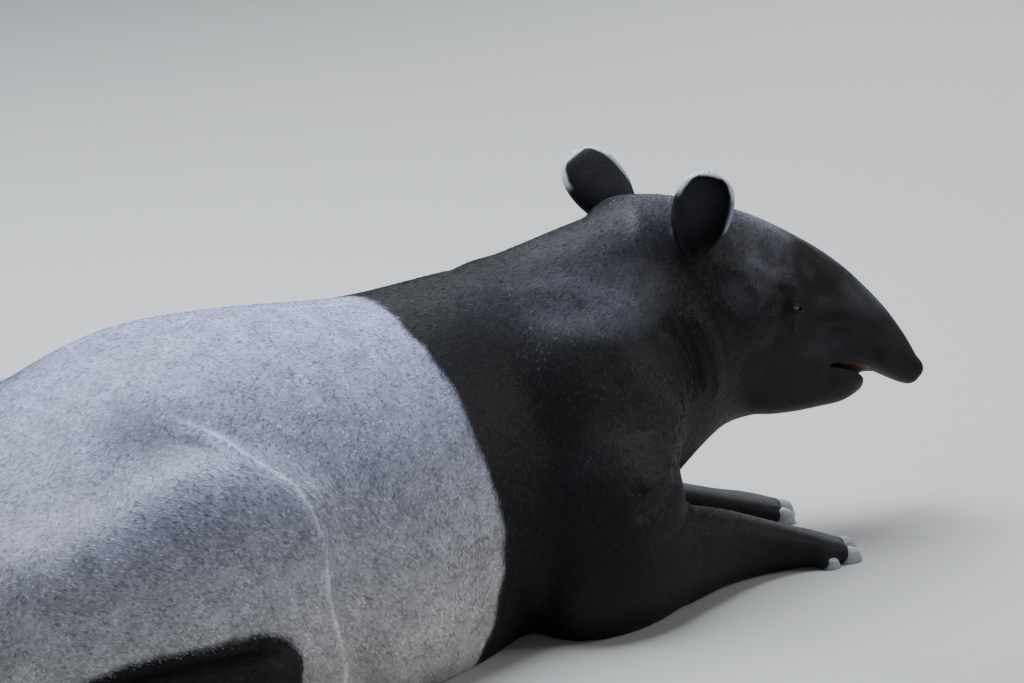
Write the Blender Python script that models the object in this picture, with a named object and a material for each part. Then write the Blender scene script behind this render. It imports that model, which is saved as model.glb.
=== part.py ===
"""A life-size Malayan tapir on its chest, its forelegs stretched forward and its hind legs folded.

Metres, +X towards the head, +Y to the animal's left, +Z up. The origin is on the ground under the belly.
The flesh is lofted from a few named sections, fused and rounded, then parted by thin cuts into named nodes.
"""

import math

import bmesh
import bpy
import numpy as np
from mathutils import Matrix, Vector

GAP = 0.0003  # clearance between touching nodes
RIGHT, LEFT = -1, 1
SIDE_NAMES = {RIGHT: "right", LEFT: "left"}

# Trunk, neck and throat:
# x, top, widest level, half width, underside, fullness above and below
TRUNK = (
    (-0.950, 0.198, 0.160, 0.040, 0.100, 2.0, 2.0),
    (-0.925, 0.222, 0.140, 0.110, 0.040, 2.1, 2.0),
    (-0.870, 0.258, 0.130, 0.180, -0.030, 2.2, 2.6),
    (-0.750, 0.312, 0.130, 0.243, -0.060, 2.4, 3.2),
    (-0.600, 0.383, 0.125, 0.278, -0.060, 2.6, 4.0),
    (-0.460, 0.457, 0.125, 0.300, -0.060, 2.5, 4.0),
    (-0.320, 0.512, 0.120, 0.315, -0.060, 2.2, 4.0),
    (-0.180, 0.517, 0.115, 0.328, -0.060, 2.0, 4.0),
    (-0.050, 0.505, 0.115, 0.334, -0.060, 2.0, 4.0),
    (0.080, 0.494, 0.120, 0.300, -0.060, 2.0, 3.6),
    (0.200, 0.504, 0.140, 0.260, -0.050, 1.9, 3.0),
    (0.320, 0.512, 0.180, 0.228, -0.035, 1.9, 2.6),
    (0.430, 0.534, 0.230, 0.196, 0.000, 1.9, 2.3),
    (0.520, 0.552, 0.270, 0.166, 0.050, 1.9, 2.2),
    (0.610, 0.562, 0.310, 0.142, 0.108, 1.9, 2.2),
    (0.680, 0.550, 0.315, 0.118, 0.152, 1.9, 2.3),
    (0.745, 0.500, 0.300, 0.088, 0.174, 1.9, 2.2),
    (0.810, 0.400, 0.290, 0.060, 0.176, 1.9, 2.0),
    (0.860, 0.330, 0.270, 0.030, 0.196, 2.0, 2.0),
)
# Muscle masses on both sides: centre, half sizes, and the lean of the top towards the head in degrees
MASSES = (
    ((0.330, 0.110, 0.265), (0.200, 0.128, 0.190), -15),  # shoulder blade
    ((0.410, 0.130, 0.265), (0.152, 0.112, 0.185), 0),  # shoulder point
    ((0.345, 0.192, 0.145), (0.170, 0.122, 0.165), 10),  # upper arm
    ((-0.285, 0.268, 0.105), (0.082, 0.080, 0.135), 0),  # knee
    ((-0.690, 0.140, 0.155), (0.190, 0.150, 0.175), 0),  # buttock
)
# Limbs: centre x, y out from the middle, z, half width, half depth above, half depth below
THIGH = (
    (-0.780, 0.100, 0.165, 0.090, 0.105, 0.140),
    (-0.680, 0.150, 0.190, 0.125, 0.130, 0.180),
    (-0.540, 0.190, 0.203, 0.134, 0.152, 0.200),
    (-0.420, 0.217, 0.206, 0.124, 0.200, 0.180),
    (-0.325, 0.242, 0.190, 0.102, 0.192, 0.130),
    (-0.265, 0.264, 0.160, 0.080, 0.165, 0.100),
    (-0.232, 0.280, 0.145, 0.045, 0.105, 0.070),
)
# The edge of the thigh, from below the hip over the knee to the ground: centre of the fold and its radius
THIGH_EDGE = (
    (-0.424, 0.166, 0.418, 0.013),
    (-0.379, 0.199, 0.406, 0.022),
    (-0.330, 0.237, 0.376, 0.029),
    (-0.283, 0.261, 0.337, 0.031),
    (-0.263, 0.278, 0.305, 0.031),
    (-0.255, 0.293, 0.270, 0.031),
    (-0.250, 0.303, 0.217, 0.031),
    (-0.243, 0.304, 0.162, 0.031),
    (-0.226, 0.303, 0.085, 0.031),
    (-0.218, 0.300, 0.020, 0.030),
)
SHANK = (
    (-0.310, 0.295, 0.080, 0.062, 0.060, 0.070),
    (-0.380, 0.308, 0.080, 0.066, 0.062, 0.070),
    (-0.500, 0.316, 0.076, 0.059, 0.060, 0.060),
    (-0.600, 0.320, 0.068, 0.046, 0.050, 0.055),
    (-0.665, 0.320, 0.056, 0.040, 0.042, 0.055),
    (-0.700, 0.320, 0.048, 0.026, 0.030, 0.045),
)
HIND_FOOT = (
    (-0.690, 0.330, 0.042, 0.034, 0.038, 0.045),
    (-0.620, 0.340, 0.034, 0.038, 0.034, 0.040),
    (-0.500, 0.350, 0.030, 0.039, 0.030, 0.036),
    (-0.420, 0.354, 0.027, 0.046, 0.027, 0.034),
    (-0.370, 0.356, 0.023, 0.050, 0.022, 0.030),
    (-0.340, 0.357, 0.018, 0.036, 0.014, 0.022),
)
FORE_LEG = {
    RIGHT: (
        (0.230, 0.220, 0.070, 0.070, 0.085, 0.090),
        (0.290, 0.238, 0.075, 0.090, 0.105, 0.105),
        (0.380, 0.236, 0.075, 0.088, 0.100, 0.100),
        (0.490, 0.214, 0.070, 0.069, 0.078, 0.084),
        (0.590, 0.196, 0.056, 0.054, 0.062, 0.064),
        (0.670, 0.192, 0.042, 0.046, 0.046, 0.050),
        (0.735, 0.200, 0.031, 0.046, 0.032, 0.038),
        (0.785, 0.208, 0.023, 0.053, 0.022, 0.030),
        (0.822, 0.212, 0.017, 0.044, 0.014, 0.022),
    ),
    LEFT: (
        (0.230, 0.210, 0.070, 0.070, 0.085, 0.090),
        (0.290, 0.222, 0.075, 0.090, 0.105, 0.105),
        (0.390, 0.200, 0.075, 0.082, 0.095, 0.100),
        (0.490, 0.155, 0.070, 0.066, 0.072, 0.080),
        (0.590, 0.106, 0.056, 0.055, 0.056, 0.064),
        (0.690, 0.060, 0.042, 0.047, 0.040, 0.050),
        (0.770, 0.026, 0.031, 0.046, 0.028, 0.038),
        (0.830, 0.008, 0.023, 0.052, 0.021, 0.030),
        (0.875, 0.000, 0.017, 0.043, 0.014, 0.022),
    ),
}
FOREARM_START = 3  # the section from which a foreleg is slim
TAIL = (
    (-0.895, 0.000, 0.204, 0.040, 0.030, 0.030),
    (-0.943, 0.000, 0.196, 0.030, 0.024, 0.024),
    (-0.970, 0.000, 0.165, 0.023, 0.018, 0.018),
    (-0.980, 0.000, 0.127, 0.017, 0.013, 0.013),
    (-0.979, 0.000, 0.106, 0.008, 0.006, 0.006),
)

# The head's own frame: X along the skull to the snout, Z to the crest, origin midway between the ear roots
HEAD_ORIGIN = Vector((0.652, -0.006, 0.487))
HEAD_YAW = math.radians(-9.9)
HEAD_PITCH = math.radians(28.2)
# The same columns as the trunk's, in the head's frame
SKULL = (
    (-0.110, 0.036, -0.050, 0.095, -0.150, 1.9, 2.2),
    (-0.050, 0.062, -0.055, 0.114, -0.185, 1.8, 2.2),
    (0.020, 0.080, -0.060, 0.119, -0.195, 1.7, 2.2),
    (0.085, 0.091, -0.060, 0.114, -0.190, 1.6, 2.2),
    (0.145, 0.095, -0.055, 0.102, -0.175, 1.6, 2.1),
    (0.200, 0.094, -0.045, 0.087, -0.158, 1.7, 2.2),
    (0.250, 0.091, -0.035, 0.074, -0.135, 1.8, 2.3),
    (0.300, 0.084, -0.025, 0.064, -0.100, 1.9, 2.4),
    (0.335, 0.076, -0.016, 0.058, -0.066, 2.0, 2.5),
    (0.390, 0.060, -0.010, 0.051, -0.055, 2.0, 2.5),
    (0.430, 0.045, -0.012, 0.045, -0.053, 2.0, 2.4),
    (0.470, 0.026, -0.016, 0.039, -0.053, 2.0, 2.3),
    (0.498, 0.009, -0.020, 0.036, -0.052, 2.0, 2.2),
    (0.517, -0.006, -0.024, 0.031, -0.049, 2.2, 2.2),
    (0.527, -0.018, -0.028, 0.017, -0.040, 2.0, 2.0),
)
JAW = (
    (-0.040, -0.070, -0.120, 0.085, -0.180, 2.0, 2.2),
    (0.030, -0.050, -0.130, 0.104, -0.205, 2.4, 2.4),
    (0.100, -0.040, -0.130, 0.103, -0.208, 2.8, 2.5),
    (0.160, -0.040, -0.120, 0.093, -0.213, 3.0, 2.5),
    (0.220, -0.040, -0.110, 0.079, -0.204, 3.0, 2.4),
    (0.280, -0.044, -0.102, 0.066, -0.188, 3.0, 2.3),
    (0.325, -0.052, -0.098, 0.057, -0.168, 2.8, 2.3),
    (0.370, -0.055, -0.090, 0.049, -0.142, 2.5, 2.3),
    (0.405, -0.056, -0.083, 0.040, -0.121, 2.3, 2.2),
    (0.428, -0.060, -0.077, 0.025, -0.099, 2.0, 2.0),
    (0.436, -0.066, -0.078, 0.012, -0.089, 2.0, 2.0),
)
# Bulges and hollows of the face on each side: centre in the head's frame, reach, and how far out they go
FACE_RELIEF = (
    ((0.090, 0.112, -0.115), (0.130, 0.090, 0.095), 0.006),  # cheek muscle
    ((0.075, 0.112, 0.006), (0.080, 0.060, 0.030), 0.006),  # cheekbone behind
    ((0.145, 0.098, -0.018), (0.065, 0.060, 0.028), 0.006),  # cheekbone ahead
    ((0.115, 0.075, 0.045), (0.100, 0.070, 0.045), -0.011),  # temple
    ((0.196, 0.082, 0.018), (0.042, 0.050, 0.024), 0.006),  # brow
    ((0.262, 0.060, 0.030), (0.060, 0.060, 0.050), -0.009),  # hollow ahead of the eye
    ((0.360, 0.045, 0.015), (0.110, 0.060, 0.055), 0.007),  # snout muscle
    ((0.350, 0.055, -0.026), (0.090, 0.050, 0.018), -0.005),  # groove above the lip
    ((0.385, 0.050, -0.048), (0.060, 0.040, 0.018), 0.003),  # upper lip
    ((0.514, 0.026, -0.012), (0.026, 0.025, 0.020), 0.004),  # rim of the nostril
)

EYE = Vector((0.206, 0.0690, -0.010))  # centre of the eyeball
EYE_RADIUS = 0.0165
LIDS = (0.0250, 0.0200, 0.0180)  # half sizes of the closed lids: along the slit, outward, upward
SLIT = (0.0140, 0.0056)  # half length and half height of the opening between the lids
SLIT_TURN = math.radians(-8)
EYE_TURN = math.radians(-8)  # how far the left eye looks ahead of straight out
NOSTRIL = ((0.520, 0.0150, -0.024), (0.016, 0.0050, 0.0085))  # centre and half sizes
NOSTRIL_TURN = math.radians(25)
MOUTH_CORNER, MOUTH_END, MOUTH_OPENING = 0.345, 0.460, 0.008
MOUTH_LEVEL, MOUTH_FRONT_LEVEL = -0.0630, -0.0580
TONGUE_HALF_WIDTH, TONGUE_TIP = 0.022, 0.412  # between the jaws, where the opening stops
CUT_REACH = 0.2  # from the middle of the head, well past its sides

# Ears: root, tip and the way the cup faces, all in the head's frame
EARS = {
    RIGHT: ((-0.012, -0.094, -0.010), (-0.058, -0.112, 0.126), (-0.42, -1.00, 0.05)),
    LEFT: ((-0.022, 0.089, 0.002), (-0.148, 0.172, 0.074), (0.30, 0.88, -0.20)),
}
# Along the ear, half width, half depth, shift towards the opening
EAR_LEAF = (
    (-0.026, 0.020, 0.018, 0.000),
    (0.000, 0.026, 0.022, 0.000),
    (0.030, 0.035, 0.024, 0.000),
    (0.058, 0.045, 0.023, 0.000),
    (0.086, 0.0475, 0.019, 0.000),
    (0.110, 0.0440, 0.014, 0.000),
    (0.128, 0.033, 0.010, 0.000),
    (0.138, 0.017, 0.006, 0.000),
    (0.141, 0.005, 0.003, 0.000),
)
EAR_CUP = (
    (0.010, 0.006, 0.006, 0.020),
    (0.022, 0.020, 0.016, 0.019),
    (0.045, 0.032, 0.024, 0.018),
    (0.073, 0.0405, 0.025, 0.016),
    (0.096, 0.0405, 0.020, 0.013),
    (0.117, 0.033, 0.014, 0.010),
    (0.130, 0.019, 0.009, 0.008),
    (0.135, 0.006, 0.004, 0.007),
)

# Hooves: toe's place ahead of and outward from the foot's centre, and size against the middle hoof
FORE_TOES = ((0.048, 0.002, 1.00), (0.030, -0.036, 0.88), (0.030, 0.038, 0.88), (-0.015, 0.046, 0.66))
HIND_TOES = ((0.040, 0.000, 1.00), (0.022, -0.037, 0.85), (0.022, 0.037, 0.85))
FOOT_CENTRES = {
    ("forefoot", RIGHT): (0.790, 0.209, 0),
    ("forefoot", LEFT): (0.842, 0.004, -10),
    ("hindfoot", RIGHT): (-0.372, 0.356, 3),
    ("hindfoot", LEFT): (-0.372, 0.356, 3),
}
HOOF_SIZE = Vector((0.046, 0.036, 0.027))  # length, width, height
# Parts of the hoof's height, and how wide it is there as a part of the sole's size
HOOF_LEVELS = ((0.0, 1.0), (0.35, 0.93), (0.70, 0.78), (0.93, 0.48), (1.0, 0.15))
HOOF_LEAN = 0.25  # how far the wall leans back, as a part of the length
HOOF_SIDES = 8

# Colour, roughness
BLACK_HIDE = ((0.020, 0.021, 0.027), 0.50)
PALE_HIDE = ((0.480, 0.500, 0.540), 0.60)
HORN = ((0.300, 0.310, 0.330), 0.40)
EYE_SURFACE = ((0.020, 0.012, 0.008), 0.10)
PALE_NODES = ("torso", "hindleg_right", "hindleg_left", "tail")

# Where the flesh is parted. Outlines run in x and z, and for the forelegs' inner sides in x and y.
HIND_LEG_OUTLINE = (
    (-0.900, -0.08),
    (-0.160, -0.08),
    (-0.160, 0.20),
    (-0.220, 0.370),
    (-0.330, 0.432),
    (-0.430, 0.458),
    (-0.600, 0.440),
    (-0.780, 0.350),
)
HIND_LEG_INNER, HIND_FOOT_INNER, LEG_OUTER = 0.165, 0.25, 0.5  # distances from the middle of the body
HIND_FOOT_OUTLINE = ((-0.76, -0.08), (-0.25, -0.08), (-0.25, 0.052), (-0.62, 0.062), (-0.76, 0.020))
FORE_LEG_OUTLINE = (
    (0.150, -0.08),
    (0.750, -0.08),
    (0.750, 0.120),
    (0.540, 0.135),
    (0.450, 0.240),
    (0.400, 0.400),
    (0.150, 0.400),
)
FORE_LEG_INNER = {
    RIGHT: ((0.150, 0.150), (0.700, 0.110), (0.700, 0.450), (0.150, 0.450)),
    LEFT: ((0.150, 0.150), (0.440, 0.135), (0.700, -0.050), (0.700, 0.450), (0.150, 0.450)),
}
WRIST = 0.700  # x where the forefeet begin
FORE_FOOT_SIDES = {RIGHT: (0.110, 0.400), LEFT: (-0.090, 0.400)}  # how far out a forefoot starts and ends
FORE_FOOT_END, FORE_FOOT_TOP = 1.000, 0.130
UNDERGROUND, ABOVE_LEGS = -0.1, 0.5  # heights between which the regions run
NECK_CUT = ((0.440, 0.0, 0.350), (0.90, 0.0, 0.43))  # point and direction of the cut before the shoulders
HEAD_CUT = ((0.620, 0.0, 0.400), (0.995, -0.05, -0.09))
HEAD_MARGIN = 0.05  # how far the head's own mesh reaches behind its cut

LIMB_FULLNESS = 2.4  # 2 would make the limbs' sections plain ellipses
TORSO_VOXEL, TORSO_ROUNDING = 0.010, 60
BODY_VOXEL, BODY_ROUNDING, BODY_FACES = 0.008, 6, 4800
HEAD_VOXEL, HEAD_ROUNDING, HEAD_FACES = 0.0045, 6, 2600


# Making meshes


def clear_scene():
    for obj in list(bpy.data.objects):
        bpy.data.objects.remove(obj)


def new_object(name, bm):
    bm.normal_update()
    bmesh.ops.recalc_face_normals(bm, faces=bm.faces)
    mesh = bpy.data.meshes.new(name)
    bm.to_mesh(mesh)
    bm.free()
    obj = bpy.data.objects.new(name, mesh)
    bpy.context.scene.collection.objects.link(obj)
    return obj


def copy_of(obj, name):
    twin = bpy.data.objects.new(name, obj.data.copy())
    bpy.context.scene.collection.objects.link(twin)
    return twin


def smooth_rows(rows, per_span):
    """The rows of sizes with smooth steps between them, by a Catmull-Rom curve through every row."""
    rows = np.asarray(rows, float)
    padded = np.vstack([2 * rows[0] - rows[1], rows, 2 * rows[-1] - rows[-2]])
    made = []
    for i in range(1, len(padded) - 2):
        before, start, end, after = padded[i - 1 : i + 3]
        for t in np.arange(per_span) / per_span:
            linear = (end - before) * t
            square = (2 * before - 5 * start + 4 * end - after) * t**2
            cubic = (3 * start - before - 3 * end + after) * t**3
            made.append(0.5 * (2 * start + linear + square + cubic))
    made.append(rows[-1])
    return np.array(made)


def skin_rings(rings, name):
    """A closed tube of triangles through rings of equally many points, with a fan at each end."""
    bm = bmesh.new()
    made = [[bm.verts.new(p) for p in ring] for ring in rings]
    count = len(made[0])
    for near, far in zip(made, made[1:]):
        for i in range(count):
            j = (i + 1) % count
            bm.faces.new((near[i], near[j], far[j]))
            bm.faces.new((near[i], far[j], far[i]))
    for ring in (made[0], made[-1]):
        middle = bm.verts.new(sum((v.co for v in ring), Vector()) / count)
        for i in range(count):
            bm.faces.new((ring[i], ring[(i + 1) % count], middle))
    return new_object(name, bm)


def rounded(value, fullness):
    """A sine or cosine whose section is fuller than an ellipse where fullness is above 2."""
    return math.copysign(abs(value) ** (2 / fullness), value)


def upright_loft(rows, name, sides=36, per_span=4):
    """A loft along X with upright sections, each from its top, widest level, half width and underside."""
    rings = []
    for x, top, level, half, under, above, below in smooth_rows(rows, per_span):
        ring = []
        for i in range(sides):
            angle = 2 * math.pi * i / sides
            rise, fullness = (top - level, above) if math.sin(angle) > 0 else (level - under, below)
            y = half * rounded(math.cos(angle), fullness)
            ring.append((x, y, level + rise * rounded(math.sin(angle), fullness)))
        rings.append(ring)
    return skin_rings(rings, name)


def limb_loft(rows, name, side=LEFT, sides=24, per_span=4, grow=0.0):
    """A loft along a bent path. Each section lies square to the path, its width as level as it can be."""
    rows = smooth_rows(rows, per_span)
    centres = rows[:, :3] * (1, side, 1)
    last = len(rows) - 1
    rings = []
    for i, row in enumerate(rows):
        ahead = Vector(centres[min(i + 1, last)] - centres[max(i - 1, 0)]).normalized()
        centre = Vector(centres[i]) + ahead * grow * ((i == last) - (i == 0))
        width = Vector((-ahead.y, ahead.x, 0)) if abs(ahead.x) > 0.3 else Vector((0, 1, 0))
        width = width.normalized() * math.copysign(1, width.y)
        rise = ahead.cross(width)
        rise = rise if rise.z - 0.5 * rise.x > 0 else -rise
        half, above, below = (size + grow for size in row[3:6])
        ring = []
        for k in range(sides):
            angle = 2 * math.pi * k / sides
            depth = above if math.sin(angle) > 0 else below
            sideways = width * half * rounded(math.cos(angle), LIMB_FULLNESS)
            ring.append(centre + sideways + rise * depth * rounded(math.sin(angle), LIMB_FULLNESS))
        rings.append(ring)
    return skin_rings(rings, name)


def ellipsoid(name, centre, sizes, turn=None, segments=24):
    bm = bmesh.new()
    bmesh.ops.create_uvsphere(bm, u_segments=segments, v_segments=segments // 2, radius=1)
    bm.transform(Matrix.Translation(centre) @ (turn or Matrix.Identity(4)) @ Matrix.Diagonal((*sizes, 1)))
    return new_object(name, bm)


def prism(outline, axis, low, high, name, grow=0.0):
    """A straight prism over an outline in x and z (axis Y) or in x and y (axis Z), grown all round."""
    points = [Vector(p) for p in outline]
    count = len(points)
    turning = sum(points[i].cross(points[(i + 1) % count]) for i in range(count))
    outward = 1 if turning > 0 else -1
    grown = []
    for i, point in enumerate(points):
        before = (point - points[i - 1]).normalized()
        after = (points[(i + 1) % count] - point).normalized()
        first = Vector((before.y, -before.x)) * outward
        second = Vector((after.y, -after.x)) * outward
        grown.append(point + (first + second) * grow / (1 + first.dot(second)))
    bm = bmesh.new()
    levels = (low - grow, high + grow)
    rings = [[bm.verts.new((p.x, t, p.y) if axis == "Y" else (p.x, p.y, t)) for p in grown] for t in levels]
    bm.faces.new(rings[0])
    bm.faces.new(rings[1])
    for i in range(count):
        j = (i + 1) % count
        bm.faces.new((rings[0][i], rings[0][j], rings[1][j], rings[1][i]))
    return new_object(name, bm)


def half_space(point, direction, name, shift=0.0, reach=3.0):
    """A big block that fills all space ahead of a plane through point, moved by shift along direction."""
    bm = bmesh.new()
    bmesh.ops.create_cube(bm, size=1)
    direction = Vector(direction).normalized()
    turn = direction.to_track_quat("Z", "Y").to_matrix().to_4x4()
    middle = Vector(point) + direction * (shift + reach / 2)
    bm.transform(Matrix.Translation(middle) @ turn @ Matrix.Scale(reach, 4))
    return new_object(name, bm)


def head_matrix():
    """Carries the head's own frame to the animal's."""
    turn = Matrix.Rotation(HEAD_YAW, 4, "Z") @ Matrix.Rotation(HEAD_PITCH, 4, "Y")
    return Matrix.Translation(HEAD_ORIGIN) @ turn


def place(obj, matrix):
    obj.data.transform(matrix)
    if matrix.determinant() < 0:
        obj.data.flip_normals()
    return obj


# Joining and cutting meshes


def join(objects, name):
    """One object that holds the meshes of all of these, still overlapping."""
    bm = bmesh.new()
    for obj in objects:
        bm.from_mesh(obj.data)
        bpy.data.objects.remove(obj)
    return new_object(name, bm)


def apply_modifiers(obj):
    graph = bpy.context.evaluated_depsgraph_get()
    mesh = bpy.data.meshes.new_from_object(obj.evaluated_get(graph))
    obj.modifiers.clear()
    obj.data = mesh
    return obj


def fuse(obj, voxel, rounding):
    """Fuses the overlapping shapes of obj into one surface and rounds where they meet."""
    remesh = obj.modifiers.new("fuse", "REMESH")
    remesh.mode = "VOXEL"
    remesh.voxel_size = voxel
    smooth = obj.modifiers.new("round", "SMOOTH")
    smooth.factor = 0.5
    smooth.iterations = rounding
    return apply_modifiers(obj)


def thin_out(obj, faces):
    """Lowers the count of triangles to about faces, most where the form is plain."""
    thin = obj.modifiers.new("thin", "DECIMATE")
    triangles = sum(len(p.vertices) - 2 for p in obj.data.polygons)
    thin.ratio = faces / triangles
    thin.use_collapse_triangulate = True
    return apply_modifiers(obj)


def boolean(obj, cutter, operation, solver="EXACT"):
    """Cuts obj by cutter, or joins them, and removes the cutter."""
    modifier = obj.modifiers.new("boolean", "BOOLEAN")
    modifier.object = cutter
    modifier.operation = operation
    modifier.solver = solver
    apply_modifiers(obj)
    bpy.data.objects.remove(cutter)
    return obj


def part_off(host, name, region):
    """Parts off what lies in a region. region(grow) makes the region's solid, grown by a small length."""
    piece = copy_of(host, name)
    boolean(piece, region(0.0), "INTERSECT")
    boolean(host, region(GAP), "DIFFERENCE")
    return piece


def swell(obj, centre, reach, height):
    """Moves the skin near centre out along its normals by up to height, and fades to nothing at reach."""
    verts = obj.data.vertices
    places = np.empty(len(verts) * 3)
    verts.foreach_get("co", places)
    places = places.reshape(-1, 3)
    normals = np.empty(len(verts) * 3)
    obj.data.vertex_normals.foreach_get("vector", normals)
    distance = np.sum(((places - centre) / reach) ** 2, axis=1)
    fade = np.clip(1 - distance, 0, 1) ** 2
    places += normals.reshape(-1, 3) * (height * fade)[:, None]
    verts.foreach_set("co", places.ravel())
    obj.data.update()


# The animal's forms


def beads(rows, side):
    """Round beads along a smooth line, so close that they fuse to one fold."""
    steps = smooth_rows(rows, 6)
    return [ellipsoid("bead", (x, side * y, z), (r, r, r), segments=16) for x, y, z, r in steps]


def masses():
    made = []
    for side in (RIGHT, LEFT):
        for centre, sizes, lean in MASSES:
            turn = Matrix.Rotation(math.radians(lean), 4, "Y")
            made.append(ellipsoid("mass", (centre[0], side * centre[1], centre[2]), sizes, turn))
    return made


def limb_roots():
    return [limb_loft(rows, "limb", side) for side in (RIGHT, LEFT) for rows in (THIGH, FORE_LEG[side])]


def torso_form(limbs):
    """Trunk, neck and head with the great muscles and the limbs given, all well rounded into each other."""
    forms = [upright_loft(TRUNK, "trunk")] + masses() + head_forms() + limbs
    return fuse(join(forms, "body"), TORSO_VOXEL, TORSO_ROUNDING)


def limb_forms():
    """The limbs' thin ends and the thighs' edges, which keep their shape because they are rounded less."""
    made = []
    for side in (RIGHT, LEFT):
        made.append(limb_loft(FORE_LEG[side][FOREARM_START:], "fore", side))
        made.append(limb_loft(SHANK, "shank", side))
        made.append(limb_loft(HIND_FOOT, "foot", side))
        made += beads(THIGH_EDGE, side)
    return made


def head_forms():
    made = [upright_loft(SKULL, "skull"), upright_loft(JAW, "jaw")]
    return [place(piece, head_matrix()) for piece in made]


def body_form():
    body = join([torso_form(limb_roots())] + limb_forms() + head_forms(), "body")
    return thin_out(fuse(body, BODY_VOXEL, BODY_ROUNDING), BODY_FACES)


def head_form():
    """The head and the start of the neck, with finer relief than the body."""
    margin = half_space(*HEAD_CUT, "margin", -HEAD_MARGIN)
    neck = boolean(torso_form([]), margin, "INTERSECT")
    head = fuse(join([neck] + head_forms(), "head"), HEAD_VOXEL, HEAD_ROUNDING)
    place(head, head_matrix().inverted())
    for centre, reach, height in FACE_RELIEF:
        for side in (RIGHT, LEFT):
            swell(head, np.array(centre) * (1, side, 1), np.array(reach), height)
    return thin_out(head, HEAD_FACES)


# The face, made in the head's own frame


def eye_frame(side):
    """Carries the eye's frame to the head's: X along the slit, Z up, Y out of the head."""
    centre = Vector((EYE.x, side * EYE.y, EYE.z))
    outward = Matrix.Rotation(EYE_TURN * side, 4, "Z")
    mirror = Matrix.Diagonal((1, side, 1, 1))
    return Matrix.Translation(centre) @ outward @ Matrix.Rotation(SLIT_TURN, 4, "Y") @ mirror


def cut_head(head, cutter, operation="DIFFERENCE"):
    """A cut in the head's thinned mesh, where the exact solver leaves open edges between the lips."""
    return boolean(head, cutter, operation, "MANIFOLD")


def cut_face(head):
    for side in (RIGHT, LEFT):
        cut_head(head, place(ellipsoid("lids", (0, 0, 0), LIDS, segments=20), eye_frame(side)), "UNION")
        slit = ellipsoid("slit", (0, LIDS[1], 0), (SLIT[0], LIDS[1], SLIT[1]), segments=16)
        cut_head(head, place(slit, eye_frame(side)))
        cut_head(head, eyeball("socket", side, GAP))
        centre, sizes = NOSTRIL
        turn = Matrix.Rotation(NOSTRIL_TURN * side, 4, "Z")
        nostril = ellipsoid("nostril", (centre[0], side * centre[1], centre[2]), sizes, turn, segments=12)
        cut_head(head, nostril)
    cut_head(head, mouth_opening())


def mouth_opening():
    """The gap between the lips, around the tongue."""
    half = MOUTH_OPENING / 2
    wedge = (
        (MOUTH_CORNER, MOUTH_LEVEL),
        (MOUTH_CORNER + 0.02, MOUTH_LEVEL + half),
        (MOUTH_END, MOUTH_FRONT_LEVEL + half),
        (MOUTH_END, MOUTH_FRONT_LEVEL - half),
        (MOUTH_CORNER + 0.02, MOUTH_LEVEL - 0.001),
    )
    tongue = ((0, -CUT_REACH), (0, CUT_REACH), (TONGUE_TIP, CUT_REACH), (TONGUE_TIP, -CUT_REACH))
    solid_tongue = prism(tongue, "Y", -TONGUE_HALF_WIDTH, TONGUE_HALF_WIDTH, "tongue")
    return boolean(prism(wedge, "Y", -CUT_REACH, CUT_REACH, "mouth"), solid_tongue, "DIFFERENCE")


def eyeball(name, side, grow=0.0):
    ball = ellipsoid(name, (0, 0, 0), [EYE_RADIUS + grow] * 3, segments=16)
    return place(ball, eye_frame(side))


def leaf(rows, name, side, grow=0.0, sides=12):
    """A flattened loft in the ear's frame, carried to the head's frame."""
    root, tip, facing = (Vector(p) for p in EARS[side])
    along = (tip - root).normalized()
    facing = (facing - facing.dot(along) * along).normalized()
    across = facing.cross(along)
    rings = []
    for length, half, depth, shift in smooth_rows(rows, 2):
        centre = root + along * (length + math.copysign(grow, length)) + facing * shift
        ring = []
        for k in range(sides):
            angle = 2 * math.pi * k / sides
            half_width, half_depth = max(half, 0.002) + grow, max(depth, 0.002) + grow
            sideways = across * half_width * math.cos(angle)
            ring.append(centre + sideways + facing * half_depth * math.sin(angle))
        rings.append(ring)
    return skin_rings(rings, name)


def ear(side):
    made = leaf(EAR_LEAF, f"ear_{SIDE_NAMES[side]}", side)
    return boolean(made, leaf(EAR_CUP, "cup", side), "DIFFERENCE")


# Hooves


def hoof(name, foot, side, toe, grow=0.0):
    """One hoof: a flat sole on the ground, a rounded front wall that leans back, and a low domed top."""
    ahead, outward, scale = toe
    x, y, turn = FOOT_CENTRES[foot, side]
    length, width, height = HOOF_SIZE * scale
    heading = Matrix.Rotation(math.radians(turn) * side, 4, "Z")
    toe_shift = Matrix.Translation((ahead, side * outward, 0))
    place_matrix = Matrix.Translation((x, side * y, 0)) @ heading @ toe_shift
    rings = []
    for level, spread in HOOF_LEVELS:
        z = level * height + (grow if level > 0.5 else -grow)
        back = HOOF_LEAN * length * (1 - spread)
        ring = []
        for k in range(HOOF_SIDES):
            angle = 2 * math.pi * (k + 0.5) / HOOF_SIDES
            x = (length / 2 * spread + grow) * math.cos(angle) - back
            ring.append((x, (width / 2 * spread + grow) * math.sin(angle), z))
        rings.append(ring)
    return place(skin_rings(rings, name), place_matrix)


def shoe(piece, foot, side, toes):
    """Makes the hooves of one foot and cuts their places into it."""
    for number, toe in enumerate(toes, 1):
        boolean(piece, hoof("place", foot, side, toe, GAP), "DIFFERENCE")
        hoof(f"hoof_{foot[:4]}_{SIDE_NAMES[side]}_{number}", foot, side, toe)


# Parting the flesh


def hind_leg_region(side, grow):
    low, high = sorted((side * HIND_LEG_INNER, side * LEG_OUTER))
    return prism(HIND_LEG_OUTLINE, "Y", low, high, "region", grow)


def hind_foot_region(side, grow):
    low, high = sorted((side * HIND_FOOT_INNER, side * LEG_OUTER))
    return prism(HIND_FOOT_OUTLINE, "Y", low, high, "region", grow)


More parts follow.
